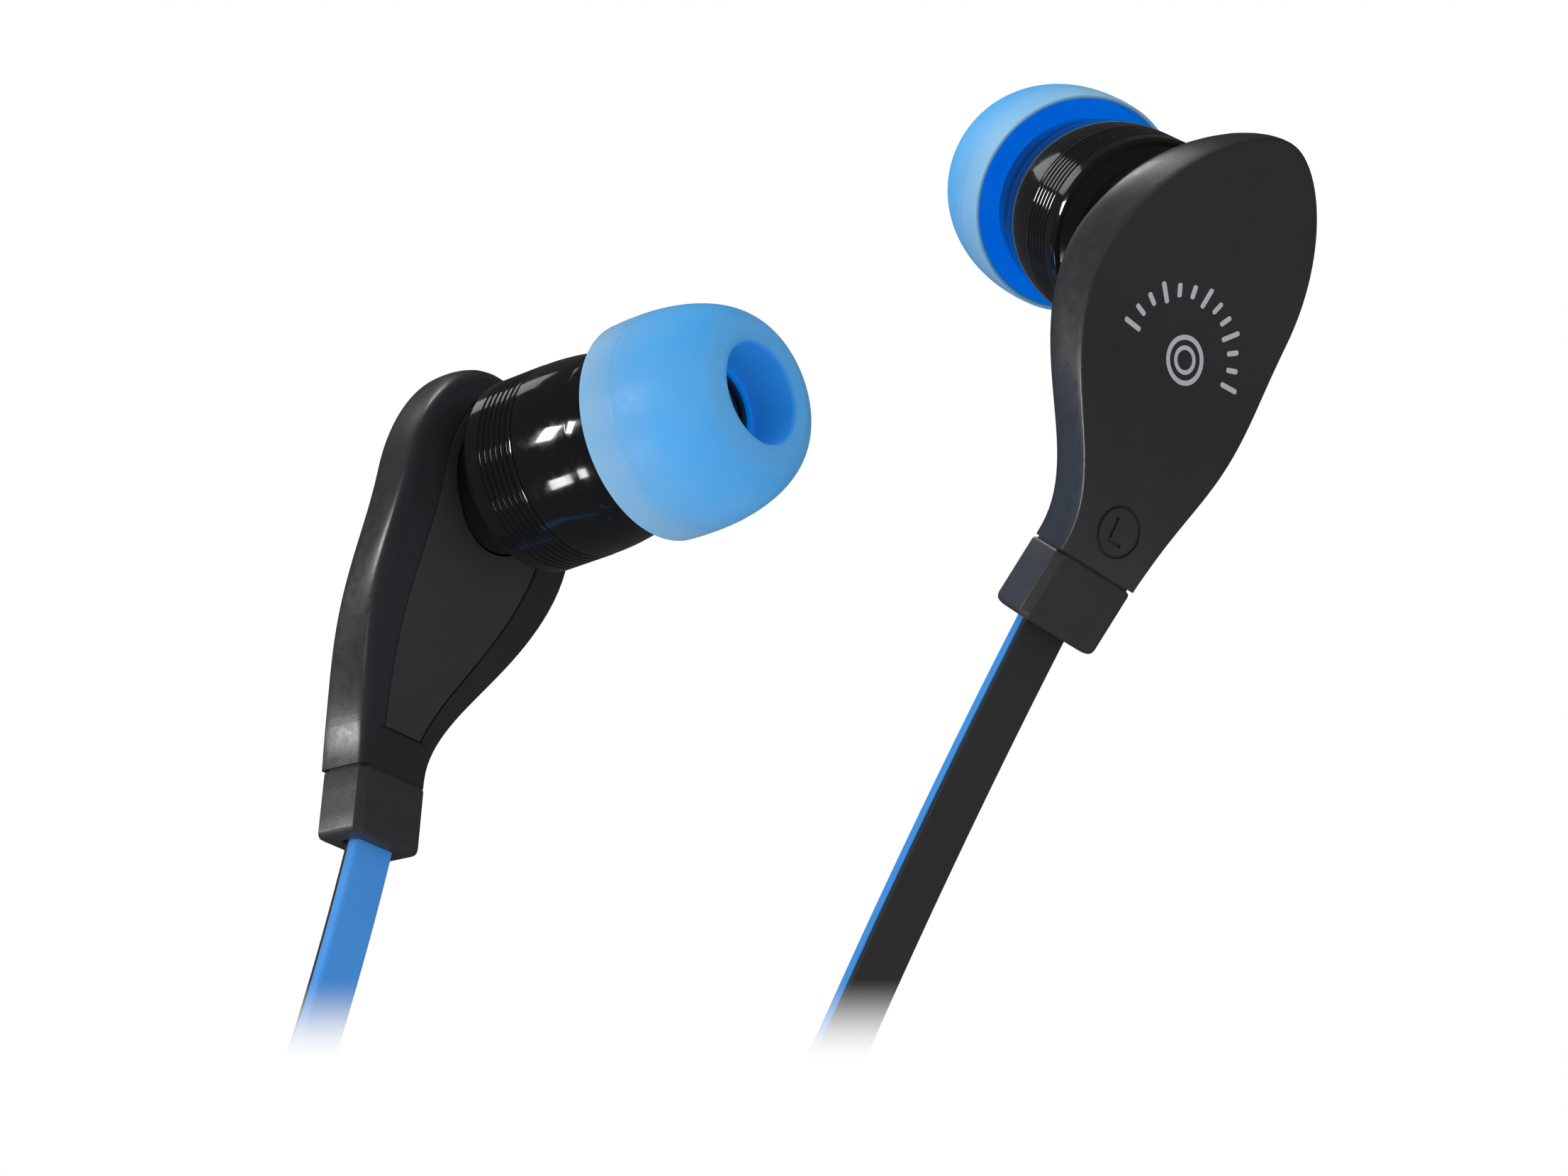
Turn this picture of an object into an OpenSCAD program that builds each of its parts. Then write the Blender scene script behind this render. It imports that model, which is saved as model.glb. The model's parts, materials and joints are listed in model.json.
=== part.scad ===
// Corded in-ear earphones: two earpieces on flat two-colour cords, a splitter,
// a rolled main cord and a right-angle audio plug. Millimetres, +Z up.
// The origin is on the plug's axis, half way along its sleeve contact.

/* [Paddle shell] */
// Height of the paddle above the strain relief
paddle_len = 23.7; // [22:0.1:26]
// Half width of the neck
neck_half = 2.55; // [2.4:0.05:3]
// Half width of the round head
head_half = 6.34; // [6:0.05:7]
// Thickness of the paddle
paddle_t = 3.3; // [3.1:0.05:3.8]
// How far the head is stepped inwards from the neck
step_in = 5.6; // [4:0.1:7]
// Thickness of the outer wall
wall = 0.75; // [0.6:0.05:0.9]
// Thickness of the cover panel on the ear side
panel_t = 0.8; // [0.6:0.05:1]

/* [Strain relief] */
// Width of the strain relief block
relief_w = 5.2; // [4.8:0.1:6]
// Length of the strain relief block
relief_len = 3.8; // [3:0.1:6]
// Chamfer along its four long edges
relief_chamfer = 0.4; // [0.2:0.05:0.7]

/* [Driver housing] */
// Outer radius of the round housing
housing_r = 5.52; // [5.3:0.02:6]
// Height of the housing's axis on the paddle
housing_z = 16.2; // [15.5:0.1:16.8]
// Upward tilt of the housing's axis, degrees
housing_tilt = 2.5; // [0:0.5:5]
// Sideways turn of the housing's axis, degrees
housing_turn = -2.5; // [-4:0.5:4]
// Sideways offset of the left housing on its paddle
left_offset = 1.3; // [0:0.1:1.5]
// Sideways offset of the right housing on its paddle
right_offset = 0.45; // [0:0.05:1.5]
// Number of fine grooves round the housing
groove_count = 6; // [3:1:8]
// Outer radius of the sound nozzle
nozzle_r = 2.45; // [2.3:0.05:2.6]

/* [Ear tip] */
// Largest radius of the ear tip
tip_r = 6.15; // [5.9:0.05:6.4]
// Distance from the paddle to the tip's rim
tip_rim = 10.4; // [10.2:0.05:11]
// Distance from the paddle to the tip's front
tip_front = 18.95; // [18.4:0.05:19.4]
// Radius of the tip's sound opening
tip_open_r = 2.8; // [2.6:0.05:3]

/* [Cord] */
// Width of the flat cord
cord_w = 2.9; // [2.4:0.05:3]
// Thickness of the flat cord
cord_t = 1; // [0.9:0.05:1.2]
// Thickness of its black layer
black_t = 0.3; // [0.28:0.02:0.5]
// Half turns in the roll
half_turns = 13; // [5:2:15]
// Inner radius of the roll, to the middle of the cord
roll_in = 11; // [11:0.5:14]

/* [Splitter] */
// Width of the splitter
splitter_w = 9.6; // [9:0.1:12]
// Height of the splitter
splitter_h = 15; // [12:0.5:18]
// Thickness of the splitter
splitter_t = 4.6; // [4:0.1:5.5]

/* [Plug] */
// Radius of the plug's contacts
plug_r = 1.75; // [1.75]
// Length of the sleeve contact
sleeve_len = 8.4; // [8.4]
// Radius of the plug's moulded body
plug_body_r = 3.7; // [3.5:0.1:4]
// Half length of the plug's moulded body
plug_body_half = 4.2; // [4:0.1:5]

/* [Layout] */
// Foot of the left earpiece
left_at = [21.92, -23.16, 86.3]; // [-40:0.01:100]
// Turn of the left earpiece, degrees
left_turn = [27.4, -17, 114.3]; // [-120:0.1:120]
// Foot of the right earpiece
right_at = [-15.93, -9.14, 74.43]; // [-40:0.01:100]
// Turn of the right earpiece, degrees
right_turn = [-20.4, -11.4, -35.4]; // [-120:0.1:120]
// Height of the splitter's top above the plug's axis
splitter_z = 23; // [22:0.5:26]
// Lean of the left cord where it leaves its earpiece, degrees
left_lean = 9; // [0:0.5:15]
// Lean of the right cord where it leaves its earpiece, degrees
right_lean = 11.5; // [0:0.5:15]
// Bend of the left cord, degrees for each millimetre
left_bend = 0.25; // [0.1:0.05:1]
// Bend of the right cord, degrees for each millimetre
right_bend = 0.45; // [0.1:0.05:1]

/* [Hidden] */
$fn = 64;

fit_gap = 0.05;          // running gap between parts that fit into each other
layer_gap = 0.01;        // bond line between the two layers of a cord
seat_gap = 0.15;         // visible line between the shell and the strain relief
flare_neck = 0.06;       // how far the side wall flares out at the neck
flare_head = 0.55;       // how far the side wall flares out at the head
rim_neck = 0.4;          // how far the ear side is drawn in at the neck
rim_head = 0.2;          // how far the ear side is drawn in at the head
panel_neck = 1.35;       // inset of the cover panel at the neck
panel_head = 2.05;       // inset of the cover panel at the head
panel_foot = 2.3;        // height of the cover panel's straight lower edge
ledge = 0.4;             // ledge that carries the cover panel
cup_neck_r = 3.7;        // radius of the driver cup's neck
cup_foot = -0.7;         // back end of the driver cup's neck, from the paddle
groove_first = 3.32;     // first groove, from the paddle
groove_last = 5.3;       // last groove, from the paddle
groove_half = 0.07;      // half the width of a groove
groove_deep = 0.1;       // depth of a groove
cup_end = 5.7;           // front end of the driver cup
driver_r = 4.78;         // radius of the driver's frame
driver_back = 2.95;      // back of the driver
frame_floor = 3.4;       // front of the frame's and the yoke's floor
motor_end = 4.45;        // front of the yoke and the pole plate
driver_end = 4.95;       // front of the driver's frame
yoke_r = 2.7;            // outer radius of the yoke
magnet_r = 2;            // radius of the magnet
coil_r = 2.36;           // outer radius of the voice coil
shoulder = 10.2;         // where the nozzle part starts to round over
nozzle_end = 15.7;       // front end of the sound nozzle
bend_from = 0.6;         // height where the paddle's sideways step starts
bend_span = 14.74;       // height over which the step runs
mark_z = 2.1;            // height of the side letter
mark_r = 1.4;            // outer radius of the ring round the side letter
mark_line = 0.2;         // width and depth of the letter's and the ring's lines
flex_gap = 0.7;          // from a moulding's end face to the cord's flex axis
planar_len = 22;         // length of cord that bends in the earpiece's own plane
run_out = 12;            // how far the cord carries on straight after that
run_in = 14;             // how far it is straight before the splitter
end_backs = [0.42, 0.3, 0.17] * cord_t;   // rounded end of a cord, back from its flex axis
roll_gap = 0.35;         // gap between turns of the roll
pitch = cord_t + roll_gap;
roll_out = roll_in + (half_turns - 1) * pitch / 2;
lead_turn_r = 5;         // bend of the cord into the plug
cord_end = 4;            // where the cord ends inside the plug's boot
sleeve_root_r = 1.5;     // radius of the sleeve contact inside the moulding
insulator_r = 1.55;      // radius of the plug's insulating rings
roll_x = -plug_body_half - sleeve_len / 2;
roll_at = [roll_x, 0, -lead_turn_r];
splitter_top = [roll_x, -roll_out, splitter_z];
branch_x = 2.15;         // where each cord enters the splitter, from its middle

/* Shape functions */
function smooth(a) = let (c = max(0, min(1, a))) c * c * (3 - 2 * c);
function bend_at(z) = step_in * smooth((z - bend_from) / bend_span);
function bezier(p, u) = pow(1 - u, 3) * p[0] + 3 * pow(1 - u, 2) * u * p[1]
    + 3 * (1 - u) * u * u * p[2] + pow(u, 3) * p[3];
function half_outline(neck, head) =
    let (h0 = neck_half + neck, h1 = head_half + head, top = paddle_len + head, mid = 13.7)
    concat(
        [for (i = [0:9]) bezier([[h0, 0], [h0, 5], [h1, 6.9], [h1, mid]], i / 10)],
        [for (i = [0:12]) bezier([[h1, mid], [h1, 19.5], [2.5 + head / 2, top], [0, top]], i / 12)]
    );
function outline(neck, head) =
    let (half = half_outline(neck, head))
    concat(half, [for (i = [len(half) - 2:-1:0]) [-half[i][0], half[i][1]]]);
function band(lo, hi) = concat(
    [for (z = [-1:1:26]) [bend_at(z) + lo, z]],
    [for (z = [26:-1:-1]) [bend_at(z) + hi, z]]
);
function unit(v) = v / norm(v);
function spin(a, p) =
    let (
        x = [p[0], p[1] * cos(a[0]) - p[2] * sin(a[0]), p[1] * sin(a[0]) + p[2] * cos(a[0])],
        y = [x[0] * cos(a[1]) + x[2] * sin(a[1]), x[1], -x[0] * sin(a[1]) + x[2] * cos(a[1])]
    )
    [y[0] * cos(a[2]) - y[1] * sin(a[2]), y[0] * sin(a[2]) + y[1] * cos(a[2]), y[2]];

/* Cord path: a station is [place, direction, width direction] */
relief_end = -seat_gap - relief_len;
function cord_start() = [0, 0, relief_end - flex_gap];
function planar_point(lean, bend, s) =
    let (k = bend * PI / 180, a = lean + bend * s)
    cord_start() + [-(cos(lean) - cos(a)) / k, 0, -(sin(a) - sin(lean)) / k];
function planar_dir(lean, bend, s) = [-sin(lean + bend * s), 0, -cos(lean + bend * s)];
function planar_station(at, turn, lean, bend, s) = [
    at + spin(turn, planar_point(lean, bend, s)),
    spin(turn, planar_dir(lean, bend, s)),
    spin(turn, [0, 1, 0])
];
function run_station(from, to, u) =
    let (
        p = [from[0], from[0] + run_out * from[1], to[0] - run_in * to[1], to[0]],
        d = unit(3 * pow(1 - u, 2) * (p[1] - p[0]) + 6 * (1 - u) * u * (p[2] - p[1])
            + 3 * u * u * (p[3] - p[2])),
        w = from[2] * (1 - smooth(u)) + to[2] * smooth(u)
    )
    [bezier(p, u), d, unit(w - (w * d) * d)];
function end_station(st, back) = [st[0] + back * st[1], st[1], st[2]];
function cord_stations(at, turn, lean, bend, to) =
    let (
        first = planar_station(at, turn, lean, bend, 0),
        joint = planar_station(at, turn, lean, bend, planar_len)
    )
    concat(
        [for (b = end_backs) end_station(first, -b)],
        [for (i = [0:8]) planar_station(at, turn, lean, bend, planar_len * i / 8)],
        [for (i = [1:24]) run_station(joint, to, i / 24)],
        [for (i = [2:-1:0]) end_station(to, end_backs[i])]
    );
function round_half(back) = sqrt(pow(cord_t / 2, 2) - back * back);
function half_thickness(i, n) =
    let (e = min(i, n - 1 - i))
    e < len(end_backs) ? round_half(end_backs[e]) : cord_t / 2;
function ring(st, lo, hi) =
    let (nrm = cross(st[1], st[2]), w = st[2] * cord_w / 2)
    [st[0] - w + nrm * lo, st[0] + w + nrm * lo, st[0] + w + nrm * hi, st[0] - w + nrm * hi];

module ribbon(stations, lo, hi) {
    n = len(stations);
    points = [for (i = [0:n - 1])
        let (h = half_thickness(i, n))
        each ring(stations[i], max(lo, -h), min(hi, h))];
    sides = [for (i = [0:n - 2]) for (k = [0:3])
        let (a = 4 * i + k, b = 4 * i + (k + 1) % 4)
        each (k == 0 ? [[a, a + 4, b], [b, a + 4, b + 4]] : [[a, b + 4, b], [a, a + 4, b + 4]])];
    caps = [[0, 2, 3], [0, 1, 2], [4 * n - 4, 4 * n - 2, 4 * n - 3], [4 * n - 4, 4 * n - 1, 4 * n - 2]];
    polyhedron(points, concat(caps, sides));
}

left_to = [splitter_top + [branch_x, 0, flex_gap], [0, 0, -1], [-1, 0, 0]];
right_to = [splitter_top + [-branch_x, 0, flex_gap], [0, 0, -1], [1, 0, 0]];
left_run = cord_stations(left_at, left_turn, left_lean, left_bend, left_to);
right_run = cord_stations(right_at, right_turn, right_lean, right_bend, right_to);

/* Placement */
module on_side(left) {
    translate(left ? left_at : right_at) rotate(left ? left_turn : right_turn) children();
}
module on_driver(left) {
    foot = [bend_at(housing_z) + paddle_t / 2, left ? left_offset : right_offset, housing_z];
    on_side(left) translate(foot) rotate([0, 90 - housing_tilt, housing_turn]) children();
}

/* Building blocks */
module lathe(profile) {
    rotate_extrude() polygon(profile);
}
module tube(r_out, r_in, z0, z1) {
    translate([0, 0, z0]) difference() {
        cylinder(r = r_out, h = z1 - z0);
        translate([0, 0, -1]) cylinder(r = r_in, h = z1 - z0 + 2);
    }
}
module disc(r, z0, z1) {
    translate([0, 0, z0]) cylinder(r = r, h = z1 - z0);
}
module slab(lo, hi, neck, head) {
    intersection() {
        rotate([90, 0, 0]) linear_extrude(20, center = true) polygon(band(lo, hi));
        translate([-5, 0, 0]) rotate([90, 0, 90]) linear_extrude(20) polygon(outline(neck, head));
    }
}
module block(x, y, z0, z1) {
    translate([-x / 2, -y / 2, z0]) cube([x, y, z1 - z0]);
}
module chamfered(x, y, c, h) {
    linear_extrude(h) polygon([
        [-x / 2 + c, -y / 2], [x / 2 - c, -y / 2], [x / 2, -y / 2 + c], [x / 2, y / 2 - c],
        [x / 2 - c, y / 2], [-x / 2 + c, y / 2], [-x / 2, y / 2 - c], [-x / 2, -y / 2 + c]
    ]);
}
module wire(points, r) {
    n = len(points);
    sides = 8;
    rings = [for (i = [0:n - 1])
        let (
            d = unit(points[min(i + 1, n - 1)] - points[max(i - 1, 0)]),
            across = unit([0, 1, 0] - d[1] * d),
            other = cross(d, across)
        )
        for (k = [0:sides - 1])
            points[i] + r * (cos(360 * k / sides) * across + sin(360 * k / sides) * other)];
    walls = [for (i = [0:n - 2]) for (k = [0:sides - 1])
        let (a = sides * i + k, b = sides * i + (k + 1) % sides)
        each [[a, b + sides, b], [a, a + sides, b + sides]]];
    foot = [for (k = [1:sides - 2]) [0, k, k + 1]];
    head = [for (k = [1:sides - 2]) [sides * (n - 1), sides * (n - 1) + k + 1, sides * (n - 1) + k]];
    polyhedron(rings, concat(foot, walls, head));
}

/* Earpiece */
module side_mark(left) {
    half = 0.62;
    x = -0.45;
    wide = left ? 0.9 : 0.62;
    translate([mark_line - paddle_t / 2 + bend_at(mark_z), 0, mark_z]) rotate([90, 0, -90]) {
        tube(mark_r, mark_r - mark_line, 0, 2 * mark_line);
        translate([x, -half, 0]) cube([mark_line, 2 * half, 2 * mark_line]);
        if (left) {
            translate([x, -half, 0]) cube([wide, mark_line, 2 * mark_line]);
        } else {
            translate([x, -mark_line / 2, 0]) cube([wide, mark_line, 2 * mark_line]);
            translate([x, half - mark_line, 0]) cube([wide, mark_line, 2 * mark_line]);
            translate([x + wide, 0, 0]) cube([mark_line, half, 2 * mark_line]);
            translate([x + wide, -half, 0]) cube([mark_line, half - mark_line, 2 * mark_line]);
        }
    }
}
module tenon(extra) {
    block(1.9 + extra, 3.7 + extra, -seat_gap - 0.5, 1.6 + extra);
}
module shell_body(left) {
    inner = paddle_t / 2;
    on_side(left) difference() {
        union() {
            slab(-inner, -0.5, 0, 0);
            slab(-0.5, 1.1, flare_neck, flare_head);
            slab(1.1, inner, -rim_neck, -rim_head);
        }
        intersection() {
            slab(inner - panel_t - fit_gap, 5, fit_gap - panel_neck, fit_gap - panel_head);
            translate([0, 0, panel_foot - fit_gap + 20]) cube(40, center = true);
        }
        intersection() {
            slab(wall - inner, 5, -panel_neck - ledge, -panel_head - ledge);
            translate([0, 0, panel_foot + ledge + 20]) cube(40, center = true);
        }
        tenon(2 * fit_gap);
        block(1.3, 1.5, 1, 3.4);
        side_mark(left);
    }
}
module shell(left) {
    difference() {
        shell_body(left);
        on_driver(left) disc(cup_neck_r + fit_gap, cup_foot - fit_gap, 4);
    }
}
module cover_panel(left) {
    inner = paddle_t / 2;
    difference() {
        on_side(left) intersection() {
            slab(inner - panel_t, inner, -panel_neck, -panel_head);
            translate([0, 0, panel_foot + 20]) cube(40, center = true);
        }
        on_driver(left) disc(cup_neck_r + fit_gap, -4, 4);
    }
}
module strain_relief(left) {
    on_side(left) difference() {
        union() {
            translate([0, 0, relief_end]) chamfered(paddle_t + 0.1, relief_w, relief_chamfer, relief_len);
            tenon(0);
        }
        block(cord_t + 0.1, cord_w + 0.1, relief_end - 1, 3);
    }
}
module cord_anchor(left) {
    on_side(left) union() {
        block(cord_t, cord_w, relief_end + 0.2, 1.5);
        block(0.9, 1.1, 1.4, 3.2);
    }
}
module lead_wires(left) {
    heights = [3.25, 4.5, 6, 7.5, 9, 10.5, 12, 13.5, 14.6];
    y_end = left ? left_offset : right_offset;
    face_x = bend_at(housing_z) + paddle_t / 2;
    on_side(left) for (side = [-1, 1]) {
        wire(concat(
            [for (z = heights)
                [bend_at(z) + 0.1, side * 0.3 + y_end * smooth((z - heights[0]) / 11), z]],
            [
                [face_x - 1.3, y_end + side * 0.5, 15.5],
                [face_x - 0.8, y_end + side * 0.7, 16.1],
                [face_x + 0.5, y_end + side * 0.8, 16.4],
                [face_x + 2.2, y_end + side * 0.8, 16.5]
            ]
        ), 0.13);
    }
}

/* Driver, along its own axis: z is the distance from the paddle's inner face */
module driver_cup(left) {
    step = (groove_last - groove_first) / (groove_count - 1);
    color("#101012") on_driver(left) difference() {
        lathe([
            [0, cup_foot], [cup_neck_r, cup_foot], [cup_neck_r, 0.9], [4.1, 1], [4.1, 1.35], [4.6, 1.5],
            [5.15, 2.1], [housing_r - 0.15, 2.15], [housing_r, 2.35], [housing_r, cup_end], [0, cup_end]
        ]);
        disc(2, -2, 4);
        disc(4.85, 2.9, cup_end + 1);
        for (i = [0:groove_count - 1]) translate([0, 0, groove_first + i * step]) {
            tube(housing_r + 1, housing_r - groove_deep, -groove_half, groove_half);
        }
    }
}
module nozzle(left) {
    end_r = housing_r - 0.66;
    color("#101012") on_driver(left) difference() {
        lathe(concat(
            [[0, 5], [4.8, 5], [4.8, cup_end + 0.03], [housing_r - 0.02, cup_end + 0.03], [end_r, shoulder]],
            [for (a = [15:15:75]) [end_r - 1.7 * (1 - cos(a)), shoulder + 1.7 * sin(a)]],
            [
                [3.2, shoulder + 1.75], [nozzle_r, shoulder + 1.75], [nozzle_r, 14.5], [nozzle_r + 0.3, 14.6],
                [nozzle_r + 0.3, 14.9], [nozzle_r, 15.2], [nozzle_r, nozzle_end], [0, nozzle_end]
            ]
        ));
        lathe([[0, 4], [4.3, 4], [4.3, 9.3], [1.75, 11.2], [1.75, 15.3], [2.05, 15.3], [2.05, 17], [0, 17]]);
    }
}
module nozzle_mesh(left) {
    color("#55565a") on_driver(left) disc(2, 15.32, 15.5);
}
module damper(left) {
    color("#d8d4c8") on_driver(left) disc(1.7, 13.2, 14);
}
module driver_frame(left) {
    color("#c9a94a") on_driver(left) {
        tube(driver_r, yoke_r + fit_gap, driver_back, frame_floor);
        tube(driver_r, driver_r - 0.43, frame_floor, driver_end);
    }
}
module yoke(left) {
    color("#8f9296") on_driver(left) {
        disc(yoke_r, driver_back, frame_floor);
        tube(yoke_r, yoke_r - 0.25, frame_floor, motor_end);
    }
}
module magnet(left) {
    color("#b9bcc0") on_driver(left) disc(magnet_r, frame_floor + 0.02, 4.1);
}
module pole_plate(left) {
    color("#8f9296") on_driver(left) disc(magnet_r + fit_gap, 4.12, motor_end);
}
module terminal_board(left) {
    color("#1f7a3c") on_driver(left) disc(1.9, 2.35, driver_back - 0.2);
}
module voice_coil(left) {
    color("#b8692e") on_driver(left) tube(coil_r, coil_r - 0.21, 3.8, driver_end + 0.03);
}
module diaphragm(left) {
    color("#d9dde0") on_driver(left) lathe([
        [0, 5.45], [0.8, 5.4], [1.6, 5.25], [coil_r, 5], [3.2, 5.2], [3.8, 5.15], [4.2, 5],
        [4.2, 5.08], [3.8, 5.23], [3.2, 5.28], [coil_r, 5.08], [1.6, 5.33], [0.8, 5.48], [0, 5.53]
    ]);
}
module ear_tip(left) {
    mid = tip_rim + 2.3;
    skirt = 0.55;
    depth = tip_front - mid;
    stem_r = nozzle_r + 0.72;
    color("#5ba3e0") on_driver(left) lathe(concat(
        [[tip_r - 0.45, tip_rim], [tip_r - 0.15, tip_rim + 0.02], [tip_r, mid - 1]],
        [for (a = [0:10:80]) [
            tip_open_r + 0.45 + (tip_r - tip_open_r - 0.45) * cos(a), mid + depth * sin(a)]],
        [[tip_open_r + 0.3, tip_front], [tip_open_r, tip_front - 0.35], [tip_open_r, nozzle_end + 0.1]],
        [[nozzle_r + fit_gap, nozzle_end + 0.1], [nozzle_r + fit_gap, 15.3], [nozzle_r + 0.36, 15.2]],
        [[nozzle_r + 0.36, 14.45], [nozzle_r + fit_gap, 14.4], [nozzle_r + fit_gap, 12.15]],
        [[stem_r, 12.15], [stem_r + 0.05, 15.2], [stem_r + 0.5, 16]],
        [for (a = [60:-12:0]) [
            tip_open_r + 0.3 + (tip_r - skirt - tip_open_r - 0.3) * cos(a),
            mid + (depth - 1.3) * sin(a)]],
        [[tip_r - skirt, mid - 1]]
    ));
}
module cord_layer(left, black) {
    stations = left ? left_run : right_run;
    if (black) {
        color("#2b2b2e") ribbon(stations, -cord_t / 2, black_t - cord_t / 2);
    } else {
        color("#3f85cb") ribbon(stations, black_t - cord_t / 2 + layer_gap, cord_t / 2);
    }
}

/* Splitter */
module splitter_slots(extra) {
    for (x = [-branch_x, branch_x]) translate([x, 0, 0]) block(cord_w + extra, cord_t + extra, -4.5, 1);
    block(cord_w + extra, cord_t + extra, -splitter_h - 1, -splitter_h + 4.5);
    block(7 + extra, 2 + extra, -splitter_h + 4, -4);
}
module splitter_half(front) {
    y0 = front ? -splitter_t : 0.01;
    translate(splitter_top) difference() {
        intersection() {
            translate([0, 0, -splitter_h]) chamfered(splitter_w, splitter_t, 0.9, splitter_h);
            translate([-splitter_w, y0, -splitter_h]) cube([2 * splitter_w, splitter_t - 0.01, splitter_h]);
        }
        splitter_slots(0.1);
    }
}
module splitter_splice() {
    color("#d6b35a") translate(splitter_top) difference() {
        splitter_slots(0);
        block(20, 20, -0.2, 2);
        block(20, 20, -splitter_h - 2, -splitter_h + 0.2);
    }
}

/* Main cord: half-circle arcs whose centres alternate, so the turns lie side by side */
module roll_arc(r, lower, lo, hi) {
    rotate([0, 0, lower ? 180 : 0]) rotate_extrude(angle = 180)
        translate([r + lo, -cord_w / 2]) square([hi - lo, cord_w]);
}
module main_cord(lo, hi) {
    drop = splitter_top[2] - splitter_h - roll_at[2] - 0.1;
    translate(roll_at) rotate([90, 0, 90]) union() {
        translate([-roll_out - hi, 0, -cord_w / 2]) cube([hi - lo, drop, cord_w]);
        for (k = [0:half_turns - 1]) {
            translate([k % 2 == 0 ? 0 : pitch / 2, 0, 0])
                roll_arc(roll_out - k * pitch / 2, k % 2 == 0, lo, hi);
        }
        translate([roll_in - lead_turn_r, 0, 0]) rotate_extrude(angle = 90)
            translate([lead_turn_r + lo, -cord_w / 2]) square([hi - lo, cord_w]);
        translate([cord_end, lead_turn_r + lo, -cord_w / 2])
            cube([roll_in - lead_turn_r - cord_end, hi - lo, cord_w]);
    }
}
module cord_tie() {
    band_t = 0.5;
    band_w = 5;
    slack = 0.1;
    inside = roll_in - cord_t / 2 - 0.8;
    outside = roll_out + cord_t / 2 + slack;
    half_w = cord_w / 2 + slack;
    color("#1c1c1f") translate(roll_at) rotate([90, 0, 90]) difference() {
        translate([inside - band_t, -band_w / 2, -half_w - band_t])
            cube([outside - inside + 2 * band_t, band_w, 2 * (half_w + band_t)]);
        translate([inside, -band_w, -half_w]) cube([outside - inside, 2 * band_w, 2 * half_w]);
    }
}

/* Plug, along +X from its shoulder */
module on_plug() {
    translate([-sleeve_len / 2, 0, 0]) rotate([0, 90, 0]) children();
}
module plug_body() {
    boot_len = 5.6;
    boot_w = 4.6;
    boot_t = 3.2;
    color("#2b2b2e") difference() {
        union() {
            on_plug() disc(plug_body_r, -2 * plug_body_half, -0.6);
            on_plug() disc(3.1, -0.7, 0);
            translate([roll_x, boot_len / 2, 0]) cube([boot_w, boot_len, boot_t], center = true);
        }
        on_plug() disc(sleeve_root_r + fit_gap, -5.5, 1);
        translate([roll_x, cord_end + 2, 0]) cube([cord_w + 0.1, 4.1, cord_t + 0.1], center = true);
    }
}
module plug_sleeve() {
    color("#c9a24a") on_plug() difference() {
        union() {
            disc(plug_r, 0.02, sleeve_len);
            disc(sleeve_root_r, -3, 0.02);
        }
        disc(1.2, -4, sleeve_len + 1);
    }
}
module plug_ring() {
    color("#c9a24a") on_plug() tube(plug_r, 1.2, sleeve_len + 0.72, sleeve_len + 2.6);
}
module plug_insulator() {
    color("#1b1b1d") on_plug() union() {
        tube(1.18, 0.62, -4.5, sleeve_len + 3.3);
        tube(insulator_r, 1.1, sleeve_len + 0.02, sleeve_len + 0.7);
        tube(insulator_r, 1.1, sleeve_len + 2.62, sleeve_len + 3.3);
    }
}
module plug_tip() {
    start = sleeve_len + 3.32;
    color("#c9a24a") on_plug() union() {
        disc(0.6, -4.9, start + 0.1);
        lathe([[0, start], [1.7, start], [1.7, start + 0.3], [1.3, start + 0.9], [1.72, start + 1.6],
            [1.5, start + 2.2], [0.5, start + 2.9], [0, start + 3]]);
    }
}

color("#333335") shell(true);  // left_shell
color("#2d2d30") cover_panel(true);  // left_cover_panel
color("#333335") strain_relief(true);  // left_strain_relief
color("#b0b3b8") cord_anchor(true);  // left_cord_anchor
color("#b8692e") lead_wires(true);  // left_lead_wires
driver_cup(true);  // left_driver_cup
nozzle(true);  // left_nozzle
nozzle_mesh(true);  // left_nozzle_mesh
damper(true);  // left_damper
driver_frame(true);  // left_driver_frame
yoke(true);  // left_yoke
magnet(true);  // left_magnet
pole_plate(true);  // left_pole_plate
terminal_board(true);  // left_terminal_board
voice_coil(true);  // left_voice_coil
diaphragm(true);  // left_diaphragm
ear_tip(true);  // left_ear_tip
cord_layer(true, true);  // left_cord_black
cord_layer(true, false);  // left_cord_blue
color("#333335") shell(false);  // right_shell
color("#2d2d30") cover_panel(false);  // right_cover_panel
color("#333335") strain_relief(false);  // right_strain_relief
color("#b0b3b8") cord_anchor(false);  // right_cord_anchor
color("#b8692e") lead_wires(false);  // right_lead_wires
driver_cup(false);  // right_driver_cup
nozzle(false);  // right_nozzle
nozzle_mesh(false);  // right_nozzle_mesh
damper(false);  // right_damper
driver_frame(false);  // right_driver_frame
yoke(false);  // right_yoke
magnet(false);  // right_magnet
pole_plate(false);  // right_pole_plate
terminal_board(false);  // right_terminal_board
voice_coil(false);  // right_voice_coil
diaphragm(false);  // right_diaphragm
ear_tip(false);  // right_ear_tip
cord_layer(false, true);  // right_cord_black
cord_layer(false, false);  // right_cord_blue
color("#333335") splitter_half(true);  // splitter_front
color("#333335") splitter_half(false);  // splitter_back
splitter_splice();
color("#2b2b2e") main_cord(cord_t / 2 - black_t, cord_t / 2);  // main_cord_black
color("#3f85cb") main_cord(-cord_t / 2, cord_t / 2 - black_t);  // main_cord_blue
cord_tie();
plug_body();
plug_sleeve();
plug_ring();
plug_insulator();
plug_tip();
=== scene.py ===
import json
import math

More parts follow.
